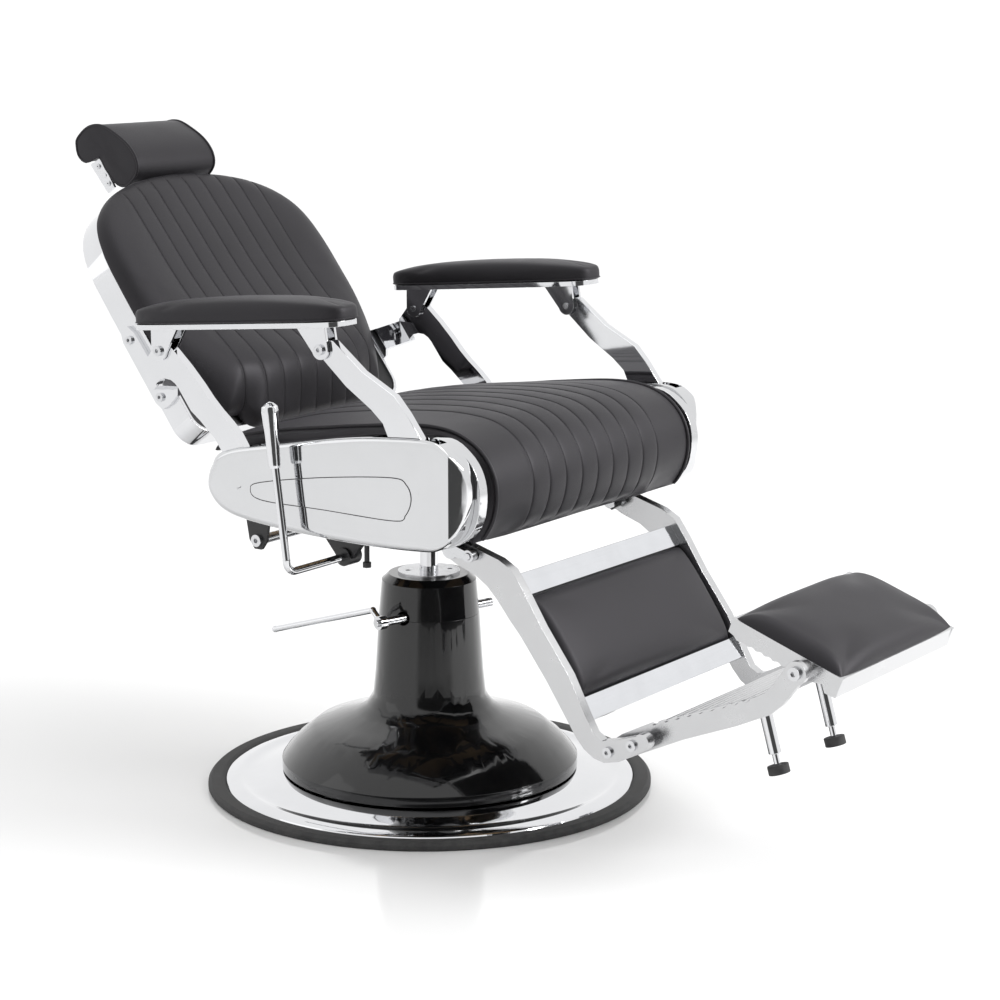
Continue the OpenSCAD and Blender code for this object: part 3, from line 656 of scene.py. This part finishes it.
def back_cushion():
    """Arched cushion: rows run up it, with the channels' columns between graded columns at the sides."""
    rows, outer = 64, 13
    centre, mids = seam_columns(BACK_SEAM_PITCH, SEAMS, 4)
    edge_y = centre[-1]
    r = 0.5 - 0.5 * np.cos(np.linspace(0, math.pi, rows))
    r = 0.35 * r + 0.65 * np.linspace(0, 1, rows)
    ys = np.repeat(centre[None, :], rows, 0)
    us = back_bottom_at(ys) + r[:, None] * (back_top_at(ys) - back_bottom_at(ys))
    grade = np.sin(np.linspace(0, math.pi / 2, outer + 1))[1:]
    low_y = BACK_BOTTOM_HALF + 0.0005
    rim_u = BACK_SIDES[0] + (BACK_SIDES[1] - BACK_SIDES[0]) * r
    rim_y = back_half_width(rim_u)
    first_u = us[:, -1]
    bottom_y = edge_y + grade * (rim_y[0] - edge_y)
    top_y = edge_y + grade * (rim_y[-1] - edge_y)
    bottom_u = back_bottom_at(np.minimum(bottom_y, low_y)) + (rim_u[0] - back_bottom_at(low_y)) * grade
    top_u = back_top_at(top_y)
    side_y = edge_y + grade[None, :] * (rim_y[:, None] - edge_y)
    straight = (1 - grade[None, :]) * first_u[:, None] + grade[None, :] * rim_u[:, None]
    fix_low = bottom_u - straight[0]
    fix_high = top_u - straight[-1]
    side_u = straight + (1 - r)[:, None] * fix_low + r[:, None] * fix_high
    ys = np.hstack([-side_y[:, ::-1], ys, side_y])
    us = np.hstack([side_u[:, ::-1], us, side_u])
    mids = [m + outer for m in mids]
    places = np.stack([ys, us], 2)
    border = np.vstack([places[0], places[1:, -1], places[-1, -2::-1], places[-2:0:-1, 0]])
    d = distance_to(border, ys, us)
    face = back_face(us)
    half = back_half_width(us)
    dish = 0.012 * (1 - np.clip(np.abs(ys) / np.maximum(half, 0.1), 0, 1) ** 2)
    face = face - dish * np.clip((us - 0.10) / 0.10, 0, 1)
    bulge = np.clip(face - 0.055, 0, 1)
    face = face - 0.7 * bulge * np.clip(np.abs(ys) / np.maximum(half, 0.001), 0, 1) ** 2
    radius = 0.040 + 0.8 * bulge
    from_low = np.clip((us - BACK_LOW) / 0.075, 0, 1)
    roll = np.sqrt(1 - (1 - from_low) ** 2)
    w = BACK_RIM + (face - BACK_RIM) * np.minimum(rounded(d, radius), 0.25 + 0.75 * roll)
    w = np.where(d < 1e-6, BACK_RIM, w)
    for m in mids:
        w[:, m] -= SEAM_DEPTH * np.clip(d[:, m] / 0.012, 0, 1)
    for a, b in zip(mids[:-1], mids[1:]):
        share = (ys[:, a : b + 1] - ys[:, a : a + 1]) / (ys[:, b : b + 1] - ys[:, a : a + 1])
        rise = CHANNEL_RISE * np.sqrt(np.clip(4 * share * (1 - share), 0, 1))
        w[:, a : b + 1] += rise * np.clip(d[:, a : b + 1] / 0.02, 0, 1)
    front = placed(BACK_FOOT, BACK_UP, BACK_OUT, us, ys, w)
    behind = placed(BACK_FOOT, BACK_UP, BACK_OUT, us, ys, BACK_RIM)
    verts, faces = closed_patch(front, behind)
    cushion = piece("back_cushion_cover", verts, faces, "backrest", LEATHER)
    co = coordinates(cushion.data)
    depth = (co - BACK_FOOT) @ BACK_OUT
    across = np.abs(co[:, 1])
    held = np.nonzero((depth < BACK_RIM + 1e-4) | at_seam(across, BACK_SEAM_PITCH))[0]
    inflate(cushion, held, 2.5, 0.003)
    subdivide(cushion)
    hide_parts("back_cushion")
    lines = [front[2:-2, m + 1] + Y_AXIS * 0.0006 for m in mids]
    stitched("back_cushion_stitches", cushion, lines, "backrest")


back_cushion()

# ---- seat cushion: a channelled top that runs over a waterfall front, with plain side panels

SEAT_HALF = 0.2655
SEAT_SEAM_PITCH = 0.043
SEAT_STATIONS = 96
SEAT_STITCH_INSET = 0.0085  # of the side stitches, from the welt
SEAT_MIDDLE = [(-0.206, 0.568), (-0.204, 0.582), (-0.184, 0.596), (-0.150, 0.607), (-0.070, 0.628),
               (0.051, 0.644), (0.139, 0.650), (0.195, 0.650), (0.250, 0.643), (0.287, 0.624),
               (0.310, 0.596), (0.321, 0.566), (0.322, 0.540), (0.315, 0.511), (0.302, 0.489),
               (0.290, 0.4795)]
SEAT_EDGE = [(-0.206, 0.568), (-0.203, 0.576), (-0.182, 0.586), (-0.146, 0.594), (-0.070, 0.609),
             (0.020, 0.622), (0.080, 0.630), (0.174, 0.640), (0.235, 0.638), (0.276, 0.624), (0.303, 0.602),
             (0.318, 0.574), (0.321, 0.543), (0.314, 0.513), (0.301, 0.490), (0.290, 0.4795)]
SEAT_INNER = [(-0.2005, 0.5635), (-0.20, 0.5637), (-0.19, 0.5646), (-0.16, 0.567), (-0.08, 0.574),
              (0.04, 0.5845), (0.12, 0.5915), (0.18, 0.5965), (0.225, 0.6005), (0.2475, 0.598),
              (0.2485, 0.575), (0.2495, 0.552), (0.252, 0.527), (0.255, 0.502), (0.262, 0.483),
              (0.284, 0.4792)]


def seat_cushion():
    """Closed loops from the back to the front, each over one side, the channelled top and the underside."""
    middle, edge, inner = (curve_through(p, SEAT_STATIONS) for p in (SEAT_MIDDLE, SEAT_EDGE, SEAT_INNER))
    centre, mids = seam_columns(SEAT_SEAM_PITCH, SEAMS, 4)
    grade = np.linspace(centre[-1], SEAT_HALF, 11)[1:]
    across = np.concatenate([-grade[::-1], centre, grade])
    mids = [m + len(grade) for m in mids]
    share = np.abs(across / SEAT_HALF) ** 2.4
    line = middle[:, None, :] * (1 - share)[None, :, None] + edge[:, None, :] * share[None, :, None]
    ahead = np.gradient(middle, axis=0)
    normal = np.stack([-ahead[:, 1], ahead[:, 0]], 1)
    normal /= np.linalg.norm(normal, axis=1, keepdims=True)
    lift = np.zeros(line.shape[:2])
    ends = np.clip(np.minimum(np.arange(SEAT_STATIONS), np.arange(SEAT_STATIONS)[::-1]) / 4, 0, 1)
    for m in mids:
        lift[:, m] -= SEAM_DEPTH * ends
    for a, b in zip(mids[:-1], mids[1:]):
        s = (across[a : b + 1] - across[a]) / (across[b] - across[a])
        lift[:, a : b + 1] += CHANNEL_RISE * np.sqrt(np.clip(4 * s * (1 - s), 0, 1))[None, :] * ends[:, None]
    top = line + lift[..., None] * normal[:, None, :]
    top = np.stack([top[..., 0], np.repeat(across[None, :], SEAT_STATIONS, 0), top[..., 1]], 2)
    down = np.linspace(0, 1, 7)[1:]
    side = edge[:, None, :] + down[None, :, None] * (inner - edge)[:, None, :]
    belly = 0.0125 * np.sin(down * math.pi) ** 0.6
    right_y = np.repeat((SEAT_HALF + belly)[None, :], SEAT_STATIONS, 0)
    right = np.stack([side[..., 0], right_y, side[..., 1]], 2)
    left = right * np.array((1, -1, 1))
    under_y = np.linspace(SEAT_HALF, -SEAT_HALF, 14)[1:-1]
    under = np.stack([np.repeat(inner[:, :1], len(under_y), 1), np.repeat(under_y[None, :], SEAT_STATIONS, 0),
                      np.repeat(inner[:, 1:], len(under_y), 1)], 2)
    loop = np.concatenate([left[:, ::-1], top, right, under], 1)
    cols = loop.shape[1]
    verts = loop.reshape(-1, 3)
    faces = grid_quads(SEAT_STATIONS, cols, wrap=True)
    n_top, n_side = top.shape[1], left.shape[1]
    for station in (0, SEAT_STATIONS - 1):
        base = station * cols
        upper = [base + n_side + k for k in range(n_top)]
        lower = [base] + [base + cols - 1 - k for k in range(len(under_y))]
        lower.append(base + n_side + n_top + n_side - 1)
        ring = upper + lower[::-1]
        faces.append(tuple(ring if station == 0 else ring[::-1]))
    cushion = piece("seat_cushion_cover", verts, faces, "seat", LEATHER)
    co = coordinates(cushion.data)
    y = np.abs(co[:, 1])
    on_inner = np.min(np.linalg.norm(co[:, None, ::2] - inner[None], axis=2), 1) < 0.0015
    at_welt = np.min(np.linalg.norm(co[:, None, ::2] - edge[None], axis=2), 1) < 0.0015
    on_edge = (y > SEAT_HALF - 1e-4) & at_welt
    held = np.nonzero(at_seam(y, SEAT_SEAM_PITCH) | on_inner | on_edge)[0]
    inflate(cushion, held, 2.5, 0.003)
    subdivide(cushion)
    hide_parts("seat_cushion")
    lines = [top[3:-3, m + 1] + Y_AXIS * 0.0006 for m in mids]
    stitched("seat_cushion_stitches", cushion, lines, "seat")
    for word, sign in (("right", -1), ("left", 1)):
        y0 = sign * (SEAT_HALF - 0.0005)
        welt = at_y(edge[2:-1], y0)
        tube("seat_welt_" + word, welt, 0.0032, "seat", LEATHER, sides=10, closed=False)
        out = np.gradient(edge, axis=0)
        out = np.stack([out[:, 1], -out[:, 0]], 1)
        out /= np.linalg.norm(out, axis=1, keepdims=True)
        low = edge + out * SEAT_STITCH_INSET
        stitched("seat_side_stitches_" + word, cushion, [at_y(low[6:-6], y0)], "seat")


seat_cushion()

# ---- armrest pads: a flat underside, a short side and a crown, over the plate's outline

ARM_Y = 0.323
ARM_BACK, ARM_FRONT = -0.037, 0.371  # ends of the pad along the armrest, from its rear bolt
ARM_MIDDLE, ARM_REACH = (ARM_BACK + ARM_FRONT) / 2, (ARM_FRONT - ARM_BACK) / 2
ARM_HALF = 0.041
ARM_BASE = 0.0422


def arm_outline(n):
    """Plan outline of the pad: a long form that tapers a little at the front, with full round ends."""
    a = np.linspace(0, 2 * math.pi, n, endpoint=False)
    c, s = np.cos(a), np.sin(a)
    x = ARM_MIDDLE + ARM_REACH * np.sign(c) * np.abs(c) ** 0.34
    y = ARM_HALF * np.sign(s) * np.abs(s) ** 0.58
    return np.stack([x, y], 1)


def arm_crown(x):
    """Height share along the armrest: lower at both ends."""
    return 1 - 0.34 * np.abs((x - ARM_MIDDLE) / ARM_REACH) ** 2.2


def ringed(outline, spine, section):
    """Grid of points of a pad: rings drawn in from an outline towards a line between two points."""
    inner = np.clip(outline[:, 0], spine[0], spine[1])
    centre = np.stack([inner, np.zeros(len(inner))], 1)
    rings = []
    for share, height in section:
        flat = centre + share * (outline - centre)
        rings.append(np.stack([flat[:, 0], flat[:, 1], np.full(len(flat), height)], 1))
    return np.array(rings)


ARM_SECTION = [(0.0, 0.0), (0.35, 0.0), (0.7, 0.0), (0.93, 0.0), (0.985, 0.0012), (1.0, 0.005),
               (1.004, 0.010), (1.005, 0.0165), (1.002, 0.0220), (0.990, 0.0265), (0.965, 0.0300),
               (0.920, 0.0325), (0.84, 0.0342), (0.72, 0.0352), (0.55, 0.0358), (0.38, 0.0361),
               (0.2, 0.0363), (0.0, 0.0363)]


def armrest_pad(word, sign):
    """One armrest's cover and the seam round its foot."""
    grid = ringed(arm_outline(120), (ARM_BACK + 0.055, ARM_FRONT - 0.055), ARM_SECTION)
    x, y, h = grid[..., 0], grid[..., 1], grid[..., 2] * arm_crown(grid[..., 0])
    points = placed(ARM_REAR, ARM_ALONG, ARM_UP, x, y * 0.985 + sign * ARM_Y, h + ARM_BASE)
    verts, faces = points.reshape(-1, 3), grid_quads(*points.shape[:2], wrap=True)
    body = "armrest_" + word
    pad = piece("armrest_cover_" + word, verts, faces, body, LEATHER, merge=2e-4)
    co = coordinates(pad.data)
    height = (co - ARM_REAR) @ ARM_UP - ARM_BASE
    inflate(pad, np.nonzero(height < 0.004)[0], 3.0, 0.003)
    subdivide(pad)
    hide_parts("armrest_pad_" + word)
    seam = arm_outline(160)
    seam_y = seam[:, 1] * 0.99 + sign * ARM_Y
    line = placed(ARM_REAR, ARM_ALONG, ARM_UP, seam[:, 0], seam_y, ARM_BASE + 0.0028)
    tube("armrest_seam_" + word, line, 0.0012, body, LEATHER)


armrest_pad("right", -1)
armrest_pad("left", 1)

# ---- calf pad and foot pad: covers pulled down between their corners


def graded(low, high, n):
    """n places from low to high, closer together near both ends."""
    t = 0.5 - 0.5 * np.cos(np.linspace(0, math.pi, n))
    return low + (high - low) * (0.6 * t + 0.4 * np.linspace(0, 1, n))


def pillow_height(x, y, half_x, half_y, corner, edge, crown, radius):
    """Height of a pulled cover: low at the corners, fuller along the edges and highest in the middle."""
    px, py = np.clip(np.abs(x) / half_x, 0, 1), np.clip(np.abs(y) / half_y, 0, 1)
    along = 1 - np.maximum(np.minimum(px, py), 0) ** 5
    dome = ((1 - px**2.4) * (1 - py**2.4)) ** 0.55
    d = np.minimum(half_x - np.abs(x), half_y - np.abs(y))
    return (corner + (edge - corner) * along + (crown - edge) * dome) * rounded(d, radius)


def pillow(name, body, replaced, axes, centre, half_x, half_y, base, sizes, waist, puff):
    """A pulled cover on a flat board.

    sizes are its heights at the corners, edges and middle and its edge radius; puff is what inflate() takes.
    """
    origin, along, out = axes
    xs, ys = graded(-half_x, half_x, 44), graded(-half_y, half_y, 76)
    x, y = np.meshgrid(xs, ys, indexing="ij")
    h = pillow_height(x, y, half_x, half_y, *sizes)
    pulled_x = x * (1 - waist * (1 - (y / half_y) ** 2) * (np.abs(x) / half_x) ** 3)
    pulled_y = y * (1 - waist * (half_x / half_y) * (1 - (x / half_x) ** 2) * (np.abs(y) / half_y) ** 3)
    front = placed(origin, along, out, pulled_x + centre, pulled_y, base + h)
    behind = placed(origin, along, out, pulled_x + centre, pulled_y, base)
    verts, faces = closed_patch(front, behind)
    cover = piece(name, verts, faces, body, LEATHER)
    height = (coordinates(cover.data) - origin) @ out - base
    inflate(cover, np.nonzero(height < 2e-4)[0], *puff)
    subdivide(cover)
    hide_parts(replaced)


BAR_INNER = 0.2165  # inner faces of the leg rest's side bars
CALF_SIZES = (0.0110, 0.0180, 0.0250, 0.017)
PAD_SIZES = (0.0080, 0.0250, 0.0300, 0.022)
pillow("calf_cover", "leg_rest", "calf_pad", (CALF_TOP, CALF_DOWN, CALF_OUT), CALF_LEN / 2,
       CALF_LEN / 2 - 0.0355, BAR_INNER - 0.001, -0.0088, CALF_SIZES, 0.004, (2.0, 0.004, 120))
pillow("foot_pad_cover", "foot_pad", "pad_cushion", (PAD_PIVOT, PAD_ALONG, PAD_OUT), -0.036,
       0.0925, 0.1765, 0.0075, PAD_SIZES, 0.014, (3.0, 0.005, 40))

# ---- headrest pillow: a roll with piped ends

PILLOW_HALF = 0.095
PILLOW_LINE = [(-0.056, 0.586), (-0.046, 0.595), (-0.015, 0.596), (0.012, 0.581), (0.030, 0.553),
               (0.043, 0.520), (0.044, 0.492), (0.033, 0.474), (0.010, 0.468), (-0.008, 0.472),
               (-0.019, 0.486), (-0.0235, 0.515), (-0.0245, 0.542), (-0.046, 0.549), (-0.058, 0.556),
               (-0.062, 0.571)]


def headrest_pillow():
    """The headrest's cover with a line of piping at each end."""
    ring = curve_through(PILLOW_LINE, 84, closed=True)
    middle = ring.mean(0)
    ends = [(0.0, 1.0), (0.30, 1.0), (0.62, 1.0), (0.86, 0.998), (0.95, 0.992), (0.985, 0.982),
            (1.0, 0.968)]
    caps = [(1.005, 0.93), (1.012, 0.80), (1.018, 0.55), (1.02, 0.25)]
    half = ends + caps
    sides = [(-t, k) for t, k in half[::-1]] + half[1:]
    loops = []
    for t, k in sides:
        line = middle + (ring - middle) * k
        loops.append(placed(BACK_FOOT, BACK_OUT, BACK_UP, line[:, 0], t * PILLOW_HALF, line[:, 1]))
    points = np.array(loops)
    rows, cols = points.shape[:2]
    faces = grid_quads(rows, cols, wrap=True)
    faces += [tuple(range(cols))[::-1], tuple((rows - 1) * cols + k for k in range(cols))]
    cover = piece("headrest_cover", points.reshape(-1, 3), faces, "headrest", LEATHER)
    co = coordinates(cover.data)
    depth = (co - BACK_FOOT) @ BACK_OUT
    near_end = np.abs(np.abs(co[:, 1]) - PILLOW_HALF * 0.995) < 0.0012
    inflate(cover, np.nonzero(near_end | (depth < -0.018))[0], 3.0, 0.004)
    subdivide(cover)
    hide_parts("headrest_pillow")
    for word, sign in (("right", -1), ("left", 1)):
        line = middle + (ring - middle) * 0.985
        path = placed(BACK_FOOT, BACK_OUT, BACK_UP, line[:, 0], sign * (PILLOW_HALF - 0.0008), line[:, 1])
        tube("headrest_piping_" + word, path, 0.0022, "headrest", LEATHER)


headrest_pillow()


SOCKET = 0.42  # radius of a screw's socket, as a share of the head's


def cap_screw(at, normal, radius, height, start=0):
    """Vertices and faces of a domed screw head with a hexagonal socket."""
    n = np.asarray(normal, float)
    u = np.cross(n, (0.31, 0.2, 0.93))
    u /= np.linalg.norm(u)
    v = np.cross(n, u)
    sides = 24
    rings = [(1.0, 0.0), (1.0, 0.45), (0.93, 0.75), (0.78, 0.95), (0.55, 1.0), (SOCKET, 0.98),
             (SOCKET, 0.35), (0.0, 0.3)]
    verts, faces = [], []
    for share, lift in rings:
        for k in range(sides):
            a = 2 * math.pi * k / sides
            hexed = 1.0
            if share == SOCKET:
                corner = (a % (math.pi / 3)) - math.pi / 6
                hexed = math.cos(math.pi / 6) / math.cos(corner) / 0.93
            r = radius * share * hexed
            spoke = u * r * math.cos(a) + v * r * math.sin(a)
            verts.append(np.asarray(at) + spoke + n * height * lift)
    faces = grid_quads(len(rings), sides, wrap=True, start=start)
    faces.append(tuple(start + k for k in range(sides)))
    return verts, faces


def headrest_screws():
    """Two screws in each end of the headrest's bracket."""
    verts, faces = [], []
    for sign in (-1, 1):
        for out, up in ((-0.0355, 0.531), (-0.034, 0.496)):
            at = placed(BACK_FOOT, BACK_OUT, BACK_UP, out, sign * 0.0932, up)
            v, f = cap_screw(at, (0, sign, 0), 0.0042, 0.0022, len(verts))
            verts += v
            faces += f
    piece("headrest_screws", verts, faces, "headrest", GROUND)


headrest_screws()

# ---- side covers: chrome shells with rounded edges and a face that folds away at the nose

COVER_OUT, COVER_IN = 0.338, 0.303
COVER_WALL = 0.004
COVER_LINE = [(-0.174, 0.529), (-0.168, 0.507), (-0.144, 0.486), (-0.087, 0.475), (0.005, 0.468),
              (0.125, 0.465), (0.226, 0.468), (0.268, 0.476), (0.298, 0.504), (0.309, 0.551), (0.303, 0.594),
              (0.280, 0.623), (0.248, 0.634), (0.172, 0.631), (0.097, 0.623), (-0.020, 0.603),
              (-0.137, 0.580), (-0.164, 0.556)]
ARM_SLOTS = [((0.148, 0.268), 0.560), ((-0.180, -0.064), 0.545)]
SLOT_Y = (0.313, 0.333)
SLOT_TOP = 0.70
NOSE_FOLD = 0.288
NOSE_LENGTH = 0.021
NOSE_CUTS = 6
INSET_LINE = [(-0.081, 0.528), (-0.060, 0.540), (0.057, 0.560), (0.186, 0.574), (0.214, 0.566),
              (0.222, 0.545), (0.212, 0.522), (0.190, 0.511), (0.060, 0.512), (-0.060, 0.513)]


def inset_ring(line, depth):
    """The outline moved inwards by a depth that may differ from point to point."""
    ahead, behind = np.roll(line, -1, 0), np.roll(line, 1, 0)
    t = ahead - behind
    t /= np.linalg.norm(t, axis=1, keepdims=True)
    inward = np.stack([-t[:, 1], t[:, 0]], 1)
    return line + inward * np.asarray(depth)[:, None]


def fold_nose(cover):
    """Creases the cover at the fold and lets its face fall away past it, ever more steeply."""
    first, growth = math.radians(35), math.radians(31) / NOSE_LENGTH
    bm = bmesh.new()
    bm.from_mesh(cover.data)
    for k in range(NOSE_CUTS):
        everything = bm.verts[:] + bm.edges[:] + bm.faces[:]
        at = (NOSE_FOLD + 0.0035 * k, 0, 0)
        bmesh.ops.bisect_plane(bm, geom=everything, dist=1e-5, plane_co=at, plane_no=(1, 0, 0))
    for v in bm.verts:
        past = v.co.x - NOSE_FOLD
        if past > 0 and abs(v.co.y) > COVER_IN + 1e-4:
            fall = (math.log(math.cos(first)) - math.log(math.cos(first + growth * past))) / growth
            v.co.y -= math.copysign(fall, v.co.y)
    bm.to_mesh(cover.data)
    bm.free()


def side_cover(word, sign):
    """One cover with the slots for its armrest's arms, and a thin black tube round its inset panel: painted
    shade for the dark line there.
    """
    line = curve_through(COVER_LINE, 180, closed=True)
    x, z = line[:, 0], line[:, 1]
    nose = np.clip((x - 0.236) / 0.05, 0, 1)
    nose = nose * nose * (3 - 2 * nose)
    tail = np.clip((-0.120 - x) / 0.05, 0, 1)
    under = np.where(z < 0.5, 0.006 * (1 - nose), 0.0)
    reach = 0.007 - 0.004 * nose + 0.008 * tail + under
    drop = 0.007 - 0.003 * nose + 0.008 * tail + under
    for _ in range(6):
        reach = (np.roll(reach, 1) + reach + np.roll(reach, -1)) / 3
        drop = (np.roll(drop, 1) + drop + np.roll(drop, -1)) / 3
    rings = []
    for share in np.linspace(0, 1, 10):
        a = math.pi / 2 * share
        ring = inset_ring(line, reach * (1 - math.cos(a)))
        rings.append(at_y(ring, COVER_OUT - drop + drop * math.sin(a)))
    face = inset_ring(line, reach)
    mid = (face[:, 1].max() + face[:, 1].min()) / 2
    spine_z = np.interp(face[:, 0], [-0.17, 0.25], [mid - 0.026, mid])
    spine = np.stack([np.clip(face[:, 0], -0.10, 0.235), spine_z], 1)
    crown = []
    for share in (0.93, 0.8, 0.6, 0.4, 0.2, 0.0):
        crown.append(at_y(spine + (face - spine) * share, COVER_OUT))
    inner_line = inset_ring(line, np.full(len(line), COVER_WALL))
    inner_face = inset_ring(line, reach + COVER_WALL * 0.6)
    walls = [at_y(line, COVER_IN), at_y(inner_line, COVER_IN), at_y(inner_line, COVER_OUT - drop - 0.001)]
    inside = []
    for share in (1.0, 0.6, 0.0):
        inside.append(at_y(spine + (inner_face - spine) * share, COVER_OUT - COVER_WALL))
    loops = crown[::-1] + rings[::-1] + walls + inside
    points = np.array(loops)
    points[..., 1] *= sign
    cols = points.shape[1]
    faces = grid_quads(len(loops), cols, wrap=True)
    name = "side_cover_shell_" + word
    cover = piece(name, points.reshape(-1, 3), faces, "seat", COVER_CHROME_PAINTED_SHADE, merge=5e-5)
    fold_nose(cover)
    for (x0, x1), z0 in ARM_SLOTS:
        cutter = bpy.data.objects.new("cutter", bpy.data.meshes.new("cutter"))
        bpy.context.scene.collection.objects.link(cutter)
        bm = bmesh.new()
        bmesh.ops.create_cube(bm, size=1.0)
        y0, y1 = sorted((sign * SLOT_Y[0], sign * SLOT_Y[1]))
        for v in bm.verts:
            low_x, low_y, low_z = (part < 0 for part in v.co)
            v.co = Vector((x0 if low_x else x1, y0 if low_y else y1, z0 if low_z else SLOT_TOP))
        bm.to_mesh(cutter.data)
        bm.free()
        cut = cover.modifiers.new("slot", "BOOLEAN")
        cut.operation = "DIFFERENCE"
        cut.solver = "EXACT"
        cut.object = cutter
        bake_modifiers(cover)
        bpy.data.objects.remove(cutter)
    smooth_shell(cover)
    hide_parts("side_cover_" + word)
    # A thin tube in satin black paint laid on the face round the inset: painted shade for the dark recess
    # line there.
    shade_line_path = curve_through(INSET_LINE, 150, closed=True)
    path = at_y(shade_line_path, sign * (COVER_OUT + 0.0001))
    tube("inset_groove_painted_shade_" + word, path, 0.0008, "seat", PAINT, sides=6)


side_cover("right", -1)
side_cover("left", 1)

# ---- base disc: its top rises in a shallow cone under the bell, so it mirrors the column

DISC_LINE = [(0, 16), (104, 16), (106, 26.6), (228, 26.6), (237, 26.3), (244, 25.4), (252, 23.6),
             (260, 21.5), (268, 19.3), (276, 17.2), (284, 15.3), (290, 14.3), (296, 14.0), (301, 14.7),
             (305, 16.0), (309, 16.8), (314, 16.5), (326, 14), (330, 12.5), (332, 10), (332, 0), (0, 0)]


def base_disc():
    """The disc as a lathed form; its line is in millimetres."""
    turns = np.linspace(0, 2 * math.pi, 180, endpoint=False)
    rings = []
    for r, z in DISC_LINE:
        rings.append(np.stack([r * np.cos(turns), r * np.sin(turns), np.full(len(turns), z)], 1))
    verts = np.concatenate(rings) * MM
    faces = grid_quads(len(DISC_LINE), len(turns), wrap=True)
    disc = piece("base_disc_coned", verts, faces, "base", CHROME)
    smooth_shell(disc)
    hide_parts("base_disc")


base_disc()

# ---- camera, light and floor

camera = bpy.data.objects.new("camera", bpy.data.cameras.new("camera"))
bpy.context.scene.collection.objects.link(camera)
camera.location = (2.383, -3.179, 1.261)
camera.rotation_euler = (math.radians(78.66), 0.0, math.radians(35.21))
camera.data.sensor_width = 36.0
camera.data.lens = 91.26
camera.data.clip_end = 200.0
bpy.context.scene.camera = camera
bpy.context.scene.view_settings.view_transform = "Standard"


def softbox(name, at, width, height, power):
    """A rectangular light that faces the chair."""
    light = bpy.data.lights.new(name, "AREA")
    light.shape = "RECTANGLE"
    light.size, light.size_y = width, height
    light.energy = power
    obj = bpy.data.objects.new(name, light)
    obj.location = at
    obj.rotation_mode = "QUATERNION"
    obj.rotation_quaternion = (Vector(CENTRE) - Vector(at)).to_track_quat("-Z", "Y")
    bpy.context.scene.collection.objects.link(obj)
    obj.visible_camera = False


CENTRE = (0.25, 0.0, 0.5)
softbox("overhead", (0.4, 0.2, 3.0), 1.6, 1.6, 10)
softbox("left_key", (-2.6, -2.4, 1.9), 1.6, 2.4, 4)
softbox("front_key", (3.0, 1.2, 2.2), 1.2, 1.6, 90)


def floor():
    """A wide pale floor that stops short of the photographer; chrome that faces there mirrors a dark room."""
    size, edge = 60.0, 2.45
    mesh = bpy.data.meshes.new("floor")
    near = [(x, (0.6 * x - edge) / 0.8, 0) for x in (-size, size)]
    corners = [near[0], near[1], (size, size, 0), (-size, size, 0)]
    mesh.from_pydata(corners, [], [(0, 1, 2, 3)])
    n = Nodes("pale_floor")
    n.fixed(Roughness=0.09, Specular_IOR_Level=0.4)
    reach = n.add("ShaderNodeVectorMath", operation="LENGTH")
    n.link(n.place, reach.inputs[0])
    # Painted light and shade: the floor's base colour is darker near the chair and paler out to 3 m, so the
    # far floor reads as white as the backdrop.
    pale = [(0.0, (0.87, 0.87, 0.87)), (1.0, (0.985, 0.985, 0.985))]
    n.base(n.spread(reach.outputs["Value"], 0, 1, 0.6, 3.0), pale)
    mesh.materials.append(n.material)
    obj = bpy.data.objects.new("floor", mesh)
    bpy.context.scene.collection.objects.link(obj)


floor()


def studio_world():
    """A white studio that is dark on the photographer's side."""
    world = bpy.data.worlds.new("studio")
    bpy.context.scene.world = world
    world.use_nodes = True
    tree = world.node_tree
    back = tree.nodes["Background"]
    place = tree.nodes.new("ShaderNodeTexCoord").outputs["Generated"]
    side = tree.nodes.new("ShaderNodeVectorMath")
    side.operation = "DOT_PRODUCT"
    side.inputs[1].default_value = (0.73, -0.67, 0.10)
    room = tree.nodes.new("ShaderNodeMapRange")
    room.interpolation_type = "SMOOTHSTEP"
    shown = tree.nodes.new("ShaderNodeMix")
    path = tree.nodes.new("ShaderNodeLightPath")
    tree.links.new(place, side.inputs[0])
    tree.links.new(side.outputs["Value"], room.inputs["Value"])
    for key, value in (("From Min", 0.74), ("From Max", 0.87), ("To Min", 1.09), ("To Max", 0.08)):
        room.inputs[key].default_value = value
    tree.links.new(path.outputs["Is Camera Ray"], shown.inputs["Factor"])
    tree.links.new(room.outputs["Result"], shown.inputs["A"])
    shown.inputs["B"].default_value = 1.5
    tree.links.new(shown.outputs["Result"], back.inputs["Strength"])
    back.inputs["Color"].default_value = (1, 1, 1, 1)


studio_world()
